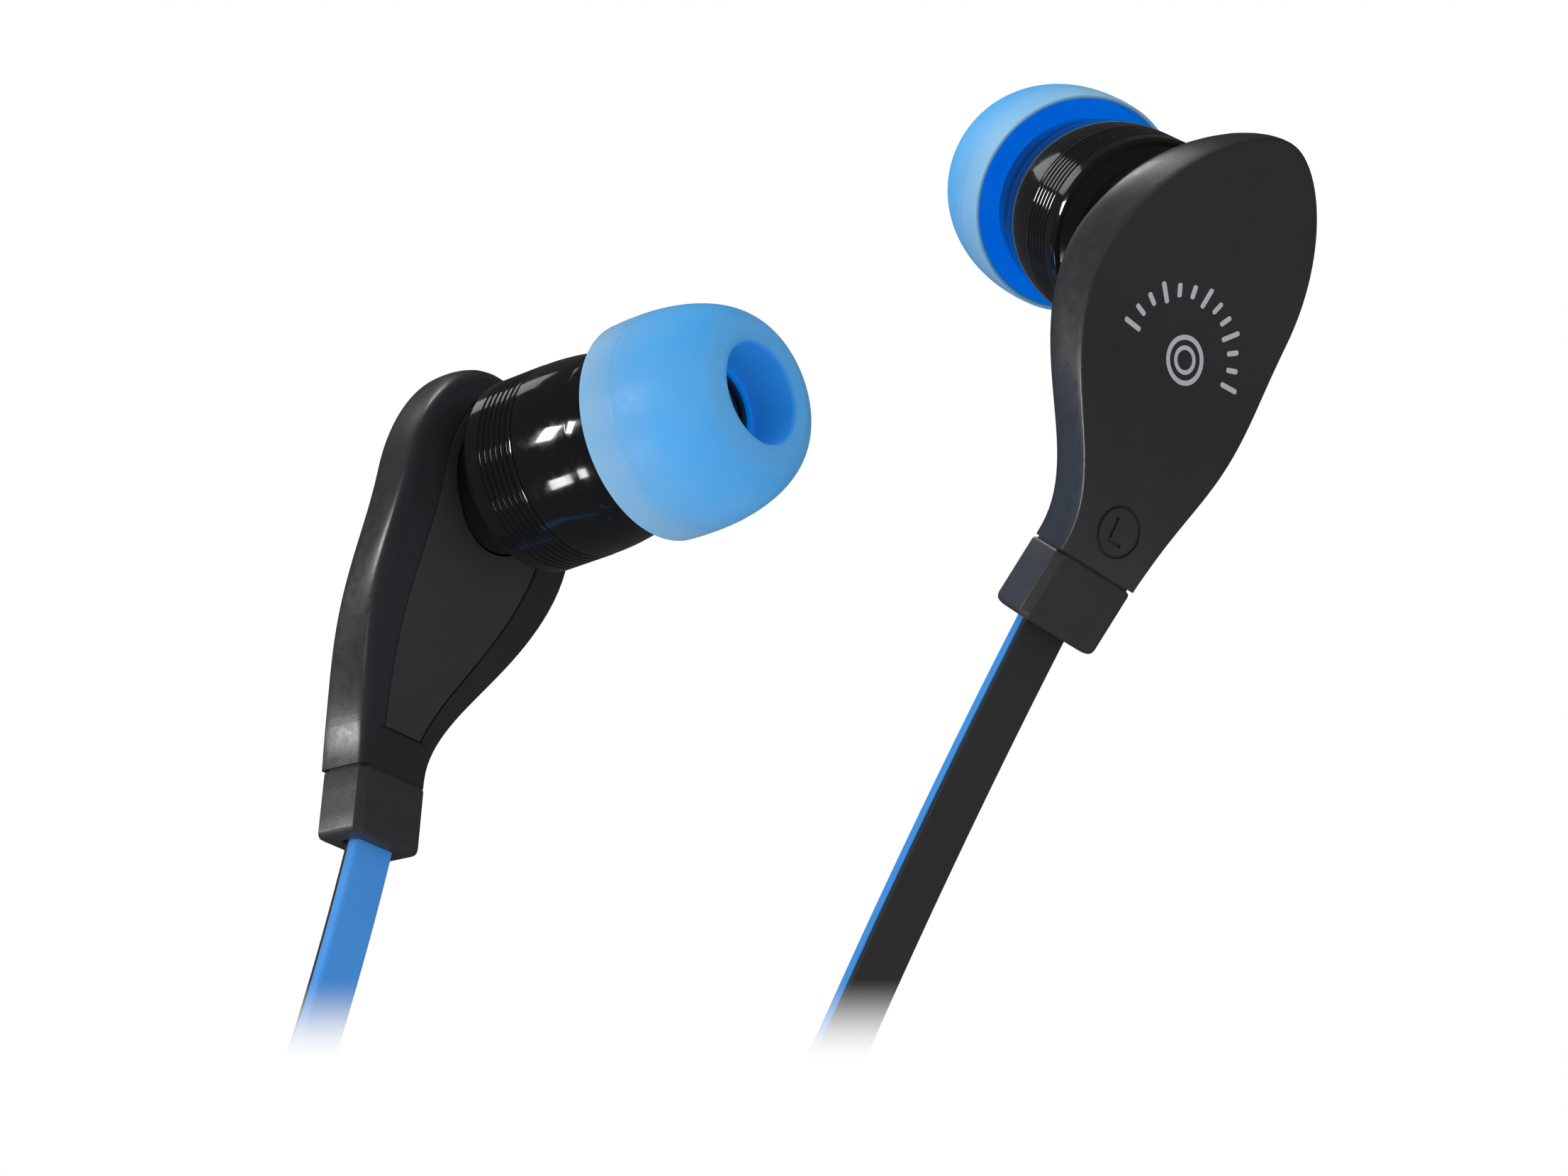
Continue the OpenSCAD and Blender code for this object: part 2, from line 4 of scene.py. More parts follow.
import bmesh
import bpy
import numpy as np
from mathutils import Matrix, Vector

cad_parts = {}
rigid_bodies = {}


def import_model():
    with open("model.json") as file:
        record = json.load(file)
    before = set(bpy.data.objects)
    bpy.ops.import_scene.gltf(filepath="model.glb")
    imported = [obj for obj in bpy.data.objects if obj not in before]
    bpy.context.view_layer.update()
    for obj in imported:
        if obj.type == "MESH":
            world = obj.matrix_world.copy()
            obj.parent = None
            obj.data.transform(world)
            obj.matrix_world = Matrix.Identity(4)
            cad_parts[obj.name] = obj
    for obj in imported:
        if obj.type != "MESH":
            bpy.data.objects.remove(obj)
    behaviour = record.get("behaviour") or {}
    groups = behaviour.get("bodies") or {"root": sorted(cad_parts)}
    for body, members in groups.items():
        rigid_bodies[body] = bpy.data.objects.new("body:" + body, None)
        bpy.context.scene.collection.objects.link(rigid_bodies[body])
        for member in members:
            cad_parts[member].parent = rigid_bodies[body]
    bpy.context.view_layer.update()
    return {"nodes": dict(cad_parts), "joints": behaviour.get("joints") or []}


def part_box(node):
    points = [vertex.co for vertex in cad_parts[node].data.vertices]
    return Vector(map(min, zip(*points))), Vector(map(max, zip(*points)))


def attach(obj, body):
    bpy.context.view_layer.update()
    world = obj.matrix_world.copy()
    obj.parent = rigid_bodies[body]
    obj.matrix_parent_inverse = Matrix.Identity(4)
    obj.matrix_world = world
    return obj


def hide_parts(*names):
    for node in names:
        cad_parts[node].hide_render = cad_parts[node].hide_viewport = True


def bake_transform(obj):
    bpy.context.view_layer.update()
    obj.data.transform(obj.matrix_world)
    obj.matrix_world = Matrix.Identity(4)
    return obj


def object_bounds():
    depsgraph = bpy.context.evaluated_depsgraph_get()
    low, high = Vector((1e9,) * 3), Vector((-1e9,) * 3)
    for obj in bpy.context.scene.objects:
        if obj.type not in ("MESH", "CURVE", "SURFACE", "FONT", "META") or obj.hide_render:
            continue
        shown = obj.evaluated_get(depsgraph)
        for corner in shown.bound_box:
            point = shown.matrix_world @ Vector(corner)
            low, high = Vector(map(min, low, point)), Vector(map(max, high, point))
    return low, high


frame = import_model()
MM = 0.001
MERGE = 0.0004  # mm

# ---- dimensions, in mm

# Most are the CAD's. SHOULDER and TIP_RIM lie 0.5 and 0.8 mm further from the paddle than in the CAD.
# RELIEF_TOP is 0.03 mm higher.
PADDLE_LEN, NECK_HALF, HEAD_HALF = 23.7, 2.55, 6.34
HALF_T, STEP_IN, STEP_FROM, STEP_SPAN = 1.65, 5.6, 0.6, 14.74
WIDEST_Z, HEAD_PULL_Z = 13.7, 19.5
FOOT_HEIGHTS = (0, 5, 6.9, WIDEST_Z)
SEAM_NECK, SEAM_HEAD, PANEL_FOOT = 1.3, 2.0, 2.3
RELIEF_TOP, RELIEF_END, FLEX_Z = -0.12, -3.95, -4.65
DRIVER_Z, CUP_R, CUP_NECK_R, SHOULDER, NOZZLE_BASE = 16.2, 5.52, 3.7, 10.7, 11.95
TIP_R, TIP_RIM, TIP_WIDE, TIP_FRONT, TIP_OPEN_R = 6.15, 11.2, 12.7, 18.95, 2.8
NOZZLE_R, NOZZLE_END = 2.45, 15.7
CORD_W, CORD_T, BLACK_T = 2.9, 1.0, 0.3
PLANAR_LEN, UPPER_STEPS, LOWER_STEPS, TUCK = 22.0, 45, 61, (1.6, 1.2, 0.8, 0.4)
SPLITTER = (9.6, 4.6, 15.0)
BRANCH_X = 2.15
HALF_TURNS, ROLL_IN, PITCH, LEAD_R = 13, 11.0, 1.35, 5.0
PLUG_R, SLEEVE_LEN, PLUG_BODY_R, PLUG_BODY_HALF = 1.75, 8.4, 3.7, 4.2
CORDS = {"left": (9.0, 0.25), "right": (11.5, 0.45)}  # lean in degrees, bend in degrees for each mm


# ---- maths

def unit(v):
    v = np.asarray(v, float)
    return v / np.linalg.norm(v)


def smooth(a):
    c = np.clip(a, 0, 1)
    return c * c * (3 - 2 * c)


def bezier(p, u):
    u = np.asarray(u, float)[:, None]
    p = np.asarray(p, float)
    return (1 - u) ** 3 * p[0] + 3 * (1 - u) ** 2 * u * p[1] + 3 * (1 - u) * u * u * p[2] + u ** 3 * p[3]


class Place:
    """A local frame in mm. Calling it takes local points to the CAD frame."""

    def __init__(self, origin, x, y, z):
        self.origin = np.asarray(origin, float)
        self.axes = np.array([unit(x), unit(y), unit(z)])

    def __call__(self, points):
        return self.origin + np.asarray(points, float) @ self.axes

    def turn(self, vector):
        return np.asarray(vector, float) @ self.axes


# ---- mesh building

def link(name, mesh):
    obj = bpy.data.objects.new(name, mesh)
    bpy.context.scene.collection.objects.link(obj)
    return obj


def shade(mesh, angle):
    mesh.polygons.foreach_set("use_smooth", [True] * len(mesh.polygons))
    mesh.set_sharp_from_angle(angle=math.radians(angle))
    mesh.update()


def finish_mesh(mesh, angle, merge=False):
    """Turns the normals outwards and shades the mesh, after merging points that coincide if asked."""
    bm = bmesh.new()
    bm.from_mesh(mesh)
    if merge:
        bmesh.ops.remove_doubles(bm, verts=bm.verts, dist=MERGE * MM)
        bmesh.ops.dissolve_degenerate(bm, edges=bm.edges, dist=MERGE * MM / 2)
    bmesh.ops.recalc_face_normals(bm, faces=bm.faces)
    bm.to_mesh(mesh)
    bm.free()
    shade(mesh, angle)


def solid(name, points, faces, place, angle):
    """A mesh from local mm points, with doubles merged and its normals turned outwards."""
    mesh = bpy.data.meshes.new(name)
    mesh.from_pydata((place(points) * MM).tolist(), [], [list(map(int, f)) for f in faces])
    finish_mesh(mesh, angle, merge=True)
    return link(name, mesh)


class Sheets:
    """Collects grids of points, to be joined into one closed mesh."""

    def __init__(self):
        self.points, self.faces = [], []

    def grid(self, rows):
        rows = np.asarray(rows, float)
        n, m = rows.shape[:2]
        base = len(self.points)
        self.points.extend(rows.reshape(-1, 3))
        for i in range(n - 1):
            for j in range(m - 1):
                a = base + i * m + j
                self.faces.append((a, a + 1, a + m + 1, a + m))

    def fan(self, ring):
        base = len(self.points)
        self.points.extend(ring)
        self.points.append(np.mean(ring, axis=0))
        n = len(ring)
        for i in range(n):
            self.faces.append((base + i, base + (i + 1) % n, base + n))

    def make(self, name, place, angle):
        return solid(name, np.array(self.points), self.faces, place, angle)


def rounded(points, radii, steps=5, closed=False):
    """A polyline with its corners rounded. radii is one number or one for each corner."""
    pts = [np.asarray(p, float) for p in points]
    n = len(pts)
    radii = [radii] * n if np.isscalar(radii) else list(radii)
    out = []
    for i, p in enumerate(pts):
        if not closed and i in (0, n - 1) or radii[i] <= 0:
            out.append(p)
            continue
        a, b = pts[i - 1] - p, pts[(i + 1) % n] - p
        la, lb = np.linalg.norm(a), np.linalg.norm(b)
        ua, ub = a / la, b / lb
        half = math.acos(max(-1.0, min(1.0, float(ua @ ub)))) / 2
        if half > math.radians(88):
            out.append(p)
            continue
        cut = min(radii[i] / math.tan(half), 0.48 * la, 0.48 * lb)
        r = cut * math.tan(half)
        centre = p + unit(ua + ub) * r / math.sin(half)
        s, e = p + ua * cut - centre, p + ub * cut - centre
        span = math.acos(max(-1.0, min(1.0, float(s @ e) / (r * r))))
        for k in range(steps + 1):
            t = k / steps
            out.append(centre + (math.sin((1 - t) * span) * s + math.sin(t * span) * e) / math.sin(span))
    return np.array(out)


def lathe(name, profile, place, closed=True, steps=128, angle=30):
    """Turns a profile of (radius, height) about the local z axis."""
    profile = np.asarray(profile, float)
    turns = np.linspace(0, 2 * math.pi, steps, endpoint=False)
    cos, sin = np.cos(turns), np.sin(turns)
    points = np.stack([
        profile[:, :1] * cos, profile[:, :1] * sin, np.repeat(profile[:, 1:2], steps, 1)
    ], axis=2).reshape(-1, 3)
    n, faces = len(profile), []
    for i in range(n if closed else n - 1):
        j = (i + 1) % n
        if profile[i][0] < 1e-6 and profile[j][0] < 1e-6:
            continue
        for k in range(steps):
            m = (k + 1) % steps
            faces.append((i * steps + k, i * steps + m, j * steps + m, j * steps + k))
    return solid(name, points, faces, place, angle)


def loft(name, rings, place, angle=32):
    """Joins closed rings of equal length, and closes both ends."""
    sheet = Sheets()
    rings = [np.asarray(r, float) for r in rings]
    sheet.grid([np.vstack([r, r[:1]]) for r in rings])
    sheet.fan(rings[0])
    sheet.fan(rings[-1][::-1])
    return sheet.make(name, place, angle)


def rounded_rect(hx, hy, r, z, steps, chamfer=None):
    if chamfer is None:
        corners = [(hx, -hy), (hx, hy), (-hx, hy), (-hx, -hy)]
    else:
        c = chamfer
        corners = [(hx - c, -hy), (hx, -hy + c), (hx, hy - c), (hx - c, hy),
                   (-hx + c, hy), (-hx, hy - c), (-hx, -hy + c), (-hx + c, -hy)]
    flat = rounded(corners, r, steps, closed=True)
    return np.column_stack([flat, np.full(len(flat), z)])


def cut(obj, tool, operation="DIFFERENCE"):
    """Applies an exact boolean and deletes the tool."""
    mod = obj.modifiers.new("cut", "BOOLEAN")
    mod.operation, mod.solver, mod.object = operation, "EXACT", tool
    bpy.context.view_layer.update()
    mesh = bpy.data.meshes.new_from_object(obj.evaluated_get(bpy.context.evaluated_depsgraph_get()))
    obj.modifiers.remove(mod)
    obj.data = mesh
    mesh.name = obj.name
    bpy.data.objects.remove(tool)
    shade(mesh, 32)
    return obj


# ---- materials

class Look:
    """A Principled material whose textures are laid out in mm."""

    def __init__(self, name, colour, rough=0.5, coords="Object", **settings):
        self.mat = bpy.data.materials.new(name)
        self.mat.use_nodes = True
        self.tree = self.mat.node_tree
        self.bsdf = self.tree.nodes["Principled BSDF"]
        self.bsdf.inputs["Base Color"].default_value = (*colour, 1)
        self.bsdf.inputs["Roughness"].default_value = rough
        for key, value in settings.items():
            self.bsdf.inputs[key.replace("_", " ")].default_value = value
        source = self.node("ShaderNodeTexCoord")
        self.where = self.node("ShaderNodeMapping")
        size = 1000.0 if coords == "Object" else 1.0
        self.where.inputs["Scale"].default_value = (size, size, size)
        self.tie(source.outputs[coords], self.where.inputs["Vector"])

    def node(self, kind, **props):
        made = self.tree.nodes.new(kind)
        for key, value in props.items():
            setattr(made, key, value)
        return made

    def tie(self, out, into):
        self.tree.links.new(out, into)

    def noise(self, scale, detail=3.0, stretch=None):
        made = self.node("ShaderNodeTexNoise")
        made.inputs["Scale"].default_value = scale
        made.inputs["Detail"].default_value = detail
        vector = self.where.outputs[0]
        if stretch:
            squeeze = self.node("ShaderNodeMapping")
            squeeze.inputs["Scale"].default_value = stretch
            self.tie(vector, squeeze.inputs["Vector"])
            vector = squeeze.outputs[0]
        self.tie(vector, made.inputs["Vector"])
        return made.outputs["Fac"]

    def specks(self, scale, size):
        made = self.node("ShaderNodeTexVoronoi")
        made.inputs["Scale"].default_value = scale
        self.tie(self.where.outputs[0], made.inputs["Vector"])
        return self.remap(made.outputs["Distance"], 0.0, size, 1.0, 0.0)

    def wave(self, scale, axis):
        made = self.node("ShaderNodeTexWave", bands_direction=axis)
        made.inputs["Scale"].default_value = scale
        self.tie(self.where.outputs[0], made.inputs["Vector"])
        return made.outputs["Fac"]

    def remap(self, fac, a, b, lo, hi):
        made = self.node("ShaderNodeMapRange")
        for key, value in zip(("From Min", "From Max", "To Min", "To Max"), (a, b, lo, hi)):
            made.inputs[key].default_value = value
        self.tie(fac, made.inputs["Value"])
        return made.outputs["Result"]

    def math(self, operation, a, b):
        made = self.node("ShaderNodeMath", operation=operation)
        for value, into in zip((a, b), made.inputs):
            if isinstance(value, (int, float)):
                into.default_value = value
            else:
                self.tie(value, into)
        return made.outputs[0]

    def ramp(self, fac, stops):
        made = self.node("ShaderNodeValToRGB")
        elements = made.color_ramp.elements
        while len(elements) < len(stops):
            elements.new(0.5)
        for element, (at, colour) in zip(elements, stops):
            element.position = at
            element.color = (*colour, 1)
        self.tie(fac, made.inputs["Fac"])
        return made.outputs["Color"]

    def blend(self, fac, a, b):
        """Mixes two colours. Each is a socket or three numbers."""
        made = self.node("ShaderNodeMix", data_type="RGBA")
        self.tie(fac, made.inputs[0])
        for value, into in ((a, made.inputs[6]), (b, made.inputs[7])):
            if isinstance(value, tuple):
                into.default_value = (*value, 1)
            else:
                self.tie(value, into)
        return made.outputs[2]

    def paint(self, colour):
        self.tie(colour, self.bsdf.inputs["Base Color"])
        return self

    def set(self, name, socket):
        self.tie(socket, self.bsdf.inputs[name])
        return self

    def bump(self, height, depth):
        """Bump whose full height is depth, in mm."""
        made = self.node("ShaderNodeBump")
        made.inputs["Strength"].default_value = 1.0
        made.inputs["Distance"].default_value = depth * MM
        self.tie(height, made.inputs["Height"])
        last = self.bsdf.inputs["Normal"]
        if last.links:
            self.tie(last.links[0].from_socket, made.inputs["Normal"])
        self.tie(made.outputs["Normal"], last)
        return self


def tint(colour, k):
    return tuple(min(1.0, c * k) for c in colour)


def moulded(name, colour, rough, grain=14.0, depth=0.006, spread=0.12, **settings):
    """Moulded plastic: a fine eroded grain, slow colour drift and uneven sheen."""
    look = Look(name, colour, rough, **settings)
    drift = look.noise(0.35, 4.0)
    look.paint(look.blend(drift, tint(colour, 1 - spread), tint(colour, 1 + spread)))
    look.set("Roughness", look.remap(look.noise(1.7, 5.0), 0.3, 0.7, rough - 0.05, rough + 0.06))
    look.bump(look.noise(grain, 6.0), depth)
    return look.mat


def silicone():
    """Milky silicone: pale at the thin rim, with painted shade and a painted glow inside.

    Inside, on the stem and half in the bore, the colour is painted a deeper blue as painted shade. A little
    emission there is a painted glow that stands for the light that comes through the wall.
    """
    look = Look("tip_silicone", (0.11, 0.35, 0.72), 0.42, Subsurface_Weight=0.4, Specular_IOR_Level=0.4)
    look.bsdf.inputs["Subsurface Radius"].default_value = (0.4, 0.7, 1.0)
    look.bsdf.inputs["Subsurface Scale"].default_value = 0.8 * MM
    depth = look.node("ShaderNodeAttribute", attribute_name="depth")
    inner = look.node("ShaderNodeAttribute", attribute_name="inner")
    cloud = look.noise(0.25, 3.0)
    body = look.ramp(depth.outputs["Fac"], SILICONE_STOPS)
    body = look.blend(look.remap(cloud, 0.35, 0.7, 0.0, 0.35), body, (0.16, 0.42, 0.76))
    body = look.blend(look.specks(1.1, 0.035), body, (0.5, 0.7, 0.9))
    # Painted shade: the inner share turns the colour a deeper blue inside, on the stem and half in the bore.
    look.paint(look.blend(inner.outputs["Fac"], body, (0.001, 0.2, 0.68)))
    look.set("Subsurface Weight", look.remap(inner.outputs["Fac"], 0.0, 1.0, 0.4, 0.0))
    # Painted glow: emission on the inner share stands for the light that comes through the wall.
    look.bsdf.inputs["Emission Color"].default_value = (0.0, 0.19, 0.6, 1)
    look.set("Emission Strength", look.remap(inner.outputs["Fac"], 0.0, 1.0, 0.0, 0.42))
    look.set("Roughness", look.remap(look.noise(2.2, 4.0), 0.3, 0.7, 0.36, 0.5))
    look.bump(look.noise(9.0, 4.0), 0.004)
    return look.mat


def extruded(name, colour, rough):
    """Flat rubber cord: fine lines along its length, from its UV layout in mm."""
    look = Look(name, colour, rough, coords="UV", Specular_IOR_Level=0.4)
    streak = look.noise(1.0, 4.0, stretch=(6.0, 0.12, 1.0))
    cloud = look.noise(0.4, 3.0)
    mixed = look.math("ADD", look.math("MULTIPLY", streak, 0.5), look.math("MULTIPLY", cloud, 0.5))
    look.paint(look.blend(mixed, tint(colour, 0.88), tint(colour, 1.12)))
    look.set("Roughness", look.remap(cloud, 0.3, 0.7, rough - 0.05, rough + 0.07))
    look.bump(streak, 0.008)
    look.bump(look.noise(16.0, 4.0), 0.003)
    return look.mat


def metal(name, colour, rough, brushed=(1.0, 1.0, 1.0)):
    """Metal with fine lines, mixed with some plain colour so that the dark world doesn't blacken it."""
    look = Look(name, colour, rough, Metallic=0.6)
    lines = look.noise(9.0, 5.0, stretch=brushed)
    look.paint(look.blend(look.noise(0.8, 4.0), tint(colour, 0.88), tint(colour, 1.06)))
    look.set("Roughness", look.remap(lines, 0.3, 0.7, max(0.04, rough - 0.07), rough + 0.09))
    look.bump(lines, 0.002)
    return look.mat


def woven(name, colour, scale, rough, metallic=0.0, depth=0.05):
    """Crossed threads, as raised waves that run both ways."""
    look = Look(name, colour, rough, Metallic=metallic)
    weave = look.math("MULTIPLY", look.wave(scale, "X"), look.wave(scale, "Z"))
    # Painted shade and painted highlight: the colour is darker in the gaps between the threads and lighter on
    # their raised tops.
    look.paint(look.blend(look.remap(weave, 0.1, 0.6, 0.0, 1.0), tint(colour, 0.35), tint(colour, 1.25)))
    look.bump(weave, depth)
    look.bump(look.noise(11.0, 4.0), 0.01)
    return look.mat


SILICONE_STOPS = [
    (0.0, (0.23, 0.45, 0.66)), (0.2, (0.19, 0.42, 0.66)), (0.32, (0.12, 0.39, 0.72)),
    (0.6, (0.07, 0.39, 0.8)), (0.9, (0.058, 0.385, 0.82)), (1.0, (0.1, 0.42, 0.82)),
]
SHELL = moulded("shell_black", (0.021, 0.021, 0.023), 0.32, grain=16.0, depth=0.005, Specular_IOR_Level=0.5)
PANEL = moulded("panel_black", (0.033, 0.033, 0.035), 0.38, grain=18.0, depth=0.005, Specular_IOR_Level=0.45)
# Painted light: the relief is a lighter copy of the shell's black, standing for the brighter light on the
# block.
RELIEF = moulded("relief_black", (0.031, 0.031, 0.033), 0.36, grain=12.0, depth=0.009, Specular_IOR_Level=0.4)
GLOSS = moulded("housing_gloss", (0.006, 0.006, 0.007), 0.11, grain=4.0, depth=0.0005, spread=0.2,
                Specular_IOR_Level=0.6, Coat_Weight=0.6, Coat_Roughness=0.05)
SILICONE = silicone()
CORD_BLACK = extruded("cord_black", (0.026, 0.026, 0.028), 0.48)
CORD_BLUE = extruded("cord_blue", (0.046, 0.27, 0.72), 0.46)
PLUG_BLACK = moulded("plug_black", (0.026, 0.026, 0.029), 0.47, grain=10.0, depth=0.01)
GOLD = metal("contact_gold", (0.86, 0.62, 0.27), 0.2, brushed=(6.0, 0.6, 0.6))
INSULATOR = moulded("insulator", (0.012, 0.012, 0.013), 0.3, grain=8.0, depth=0.003)
TIE = woven("tie_weave", (0.022, 0.022, 0.025), 2.2, 0.85)
PRINT = moulded("print_grey", (0.42, 0.43, 0.46), 0.5, grain=20.0, depth=0.002)
CRIMP = metal("crimp", (0.52, 0.53, 0.55), 0.35)
COPPER = metal("copper", (0.72, 0.34, 0.17), 0.3)
MESH_METAL = woven("nozzle_mesh_wire", (0.30, 0.31, 0.33), 6.0, 0.4, metallic=0.9, depth=0.04)
FELT = moulded("felt", (0.66, 0.62, 0.52), 0.9, grain=7.0, depth=0.06)
BRASS = metal("brass_parts", (0.75, 0.56, 0.24), 0.3)
STEEL = metal("steel", (0.50, 0.51, 0.53), 0.28)
MAGNET = metal("magnet", (0.62, 0.63, 0.65), 0.22)
BOARD = moulded("board", (0.015, 0.17, 0.05), 0.4, grain=9.0, depth=0.004)
FILM = moulded("film", (0.62, 0.66, 0.68), 0.25, grain=6.0, depth=0.004)


def keep(obj, body, mat, slot, *nodes):
    """Gives a finished piece its material and body, and hides the CAD nodes it stands for. Its record slot is
    not used.
    """
    obj.data.materials.clear()
    obj.data.materials.append(mat)
    if body:
        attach(obj, body)
    if nodes:
        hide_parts(*nodes)
    return obj


# ---- earpiece frames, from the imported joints

JOINTS = {j["name"]: j for j in frame["joints"]}


def earpiece_place(side):
    """The paddle's frame (z to the head, x to the ear, y across) and the driver's sideways offset."""
    flex, twist = JOINTS[side + "_earpiece_flex"], JOINTS[side + "_tip_twist"]
    pivot = np.array(flex["pos_m"]) / MM
    face = np.array(twist["pos_m"]) / MM
    face_x = float(bend_at(DRIVER_Z)) + HALF_T
    y = unit(flex["axis"])
    reach = face - pivot
    offset = float(reach @ y)
    lean = math.atan2(face_x, DRIVER_Z - FLEX_Z)
    for sign in (1, -1):
        along = unit(reach - offset * y)
        across = np.cross(sign * y, along)
        z = math.cos(lean) * along - math.sin(lean) * across
        x = math.sin(lean) * along + math.cos(lean) * across
        if float(np.array(twist["axis"]) @ x) > 0.5:
            return Place(pivot - FLEX_Z * z, x, sign * y, z), sign * offset
    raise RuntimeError("the flex axis doesn't match the driver's axis")


def driver_place(side, at, offset):
    """The driver's frame: z is the distance from the paddle's ear side."""
    z = unit(JOINTS[side + "_tip_twist"]["axis"])
    foot = at([bend_at(DRIVER_Z) + HALF_T, offset, DRIVER_Z])
    y = unit(at.axes[1] - (at.axes[1] @ z) * z)
    return Place(foot, np.cross(y, z), y, z)


# ---- paddle shell

def bend_at(z):
    """How far the paddle's middle has stepped inwards at a height."""
    return STEP_IN * smooth((np.asarray(z, float) - STEP_FROM) / STEP_SPAN)


def foot_share(z):
    """Where on the outline's first curve a height is reached."""
    lo, hi = 0.0, 1.0
    for _ in range(40):
        mid = (lo + hi) / 2
        if bezier([[height] for height in FOOT_HEIGHTS], [mid])[0][0] < z:
            lo = mid
        else:
            hi = mid
    return lo


LEDGE = 0.4
FIRST = sorted(list(np.linspace(0, 1, 31)) + [foot_share(PANEL_FOOT), foot_share(PANEL_FOOT + LEDGE)])
SECOND = list(np.linspace(0, 1, 31) ** 0.9)[1:]
SEAM_ROW = FIRST.index(foot_share(PANEL_FOOT))
CAVITY_ROW = FIRST.index(foot_share(PANEL_FOOT + LEDGE))


def half_ring(dx, neck, head, crown=None):
    """Points up the +y half of the outline, dx from the bent middle.

    They are offset outwards by neck at the foot, by head at the sides and by crown at the top.
    """
    crown = head if crown is None else crown
    h0, h1, top = NECK_HALF + neck, HEAD_HALF + head, PADDLE_LEN + crown
    yz = np.vstack([
        bezier(list(zip((h0, h0, h1, h1), FOOT_HEIGHTS)), FIRST),
        bezier([[h1, WIDEST_Z], [h1, HEAD_PULL_Z], [2.5 + head / 2, top], [0, top]], SECOND),
    ])
    return np.column_stack([bend_at(yz[:, 1]) + dx, yz])


def mirrored(points):
    return points * np.array([1, -1, 1])


def full_ring(half):
    return np.vstack([mirrored(half), half[::-1][1:]])


def row(half, i, columns):
    """Points across the paddle at row i, at shares of the half width."""
    p = half[i]
    return [[p[0], p[1] * c, p[2]] for c in columns]


CELLS = 12
SIDE_RINGS = [  # distance from the bent middle, then offsets at the neck, the head's sides and its top
    (-1.65, -0.32, -0.32, -0.32), (-1.65, -0.18, -0.18, -0.18), (-1.636, -0.11, -0.11, -0.11),
    (-1.605, -0.05, -0.045, -0.05), (-1.56, -0.012, -0.004, -0.012), (-1.48, 0.0, 0.035, 0.0),
    (-1.1, 0.02, 0.13, 0.02), (-0.6, 0.04, 0.25, 0.0), (-0.1, 0.05, 0.37, -0.08), (0.4, 0.05, 0.48, -0.22),
    (0.8, 0.05, 0.54, -0.42), (1.05, 0.04, 0.56, -0.6), (1.2, 0.01, 0.54, -0.74), (1.33, -0.05, 0.46, -0.88),
    (1.44, -0.14, 0.33, -1.0), (1.52, -0.25, 0.15, -1.12), (1.56, -0.38, -0.05, -1.25),
    (1.58, -0.55, -0.3, -1.38),
]


def neck_tool(drive, foot):
    """A cutter for the hole that the driver cup's neck goes through."""
    r = CUP_NECK_R + 0.08
    return lathe("neck_cutter", [(0, foot), (r, foot), (r, 4), (0, 4)], drive, steps=96)


def paddle(name, at, drive, rise, letter):
    """The shell: a bent outer face and flared side, a seam and ledge for the cover, and a hollow under it."""
    sheet = Sheets()
    rings = [half_ring(dx, neck, head, crown + rise) for dx, neck, head, crown in SIDE_RINGS]
    rim = rings[-1]
    seam_top = half_ring(HALF_T, -SEAM_NECK + 0.05, -SEAM_HEAD + 0.05)
    seam_mid = half_ring(HALF_T - 0.04, -SEAM_NECK, -SEAM_HEAD)
    seam_low = half_ring(0.8, -SEAM_NECK, -SEAM_HEAD)
    hold_top = half_ring(0.8, -SEAM_NECK - LEDGE, -SEAM_HEAD - LEDGE)
    hold_low = half_ring(-0.9, -SEAM_NECK - LEDGE, -SEAM_HEAD - LEDGE)
    n = len(rim)

    def columns(i):
        a = rim[i][1]
        b, c = seam_top[i][1] / a, hold_top[i][1] / a
        return [-1, -b, *np.linspace(-c, c, CELLS + 1), b, 1]

    foot = columns(0)
    sheet.grid([full_ring(r) for r in rings])
    sheet.grid([row(rings[0], i, foot) for i in range(n)])
    sheet.grid([row(r, 0, foot) for r in rings])
    sheet.grid([row(rim, i, columns(i)) for i in range(SEAM_ROW + 1)])

    def wall(a, b, start):
        for flip in (lambda p: p, mirrored):
            sheet.grid([flip(a[start:]), flip(b[start:])])

    def sill(a, b, i):
        shares = [c * rim[i][1] / seam_top[i][1] for c in columns(i)[1:-1]]
        sheet.grid([row(a, i, shares), row(b, i, shares)])

    wall(rim, seam_top, SEAM_ROW)
    wall(seam_top, seam_mid, SEAM_ROW)
    wall(seam_mid, seam_low, SEAM_ROW)
    sill(seam_top, seam_mid, SEAM_ROW)
    sill(seam_mid, seam_low, SEAM_ROW)
    inner = []
    for i in range(SEAM_ROW, CAVITY_ROW + 1):
        c = hold_top[i][1] / seam_low[i][1]
        inner.append(row(seam_low, i, [-1, *np.linspace(-c, c, CELLS + 1), 1]))
    sheet.grid(inner)
    wall(seam_low, hold_top, CAVITY_ROW)
    wall(hold_top, hold_low, CAVITY_ROW)
    even = np.linspace(-1, 1, CELLS + 1)
    sheet.grid([row(hold_top, CAVITY_ROW, even), row(hold_low, CAVITY_ROW, even)])
    sheet.grid([row(hold_low, i, even) for i in range(CAVITY_ROW, n)])
    shell = cut(sheet.make(name, at, 28), neck_tool(drive, -0.76))
    for tool in mark_tools(at, letter):
        cut(shell, tool)
    return shell


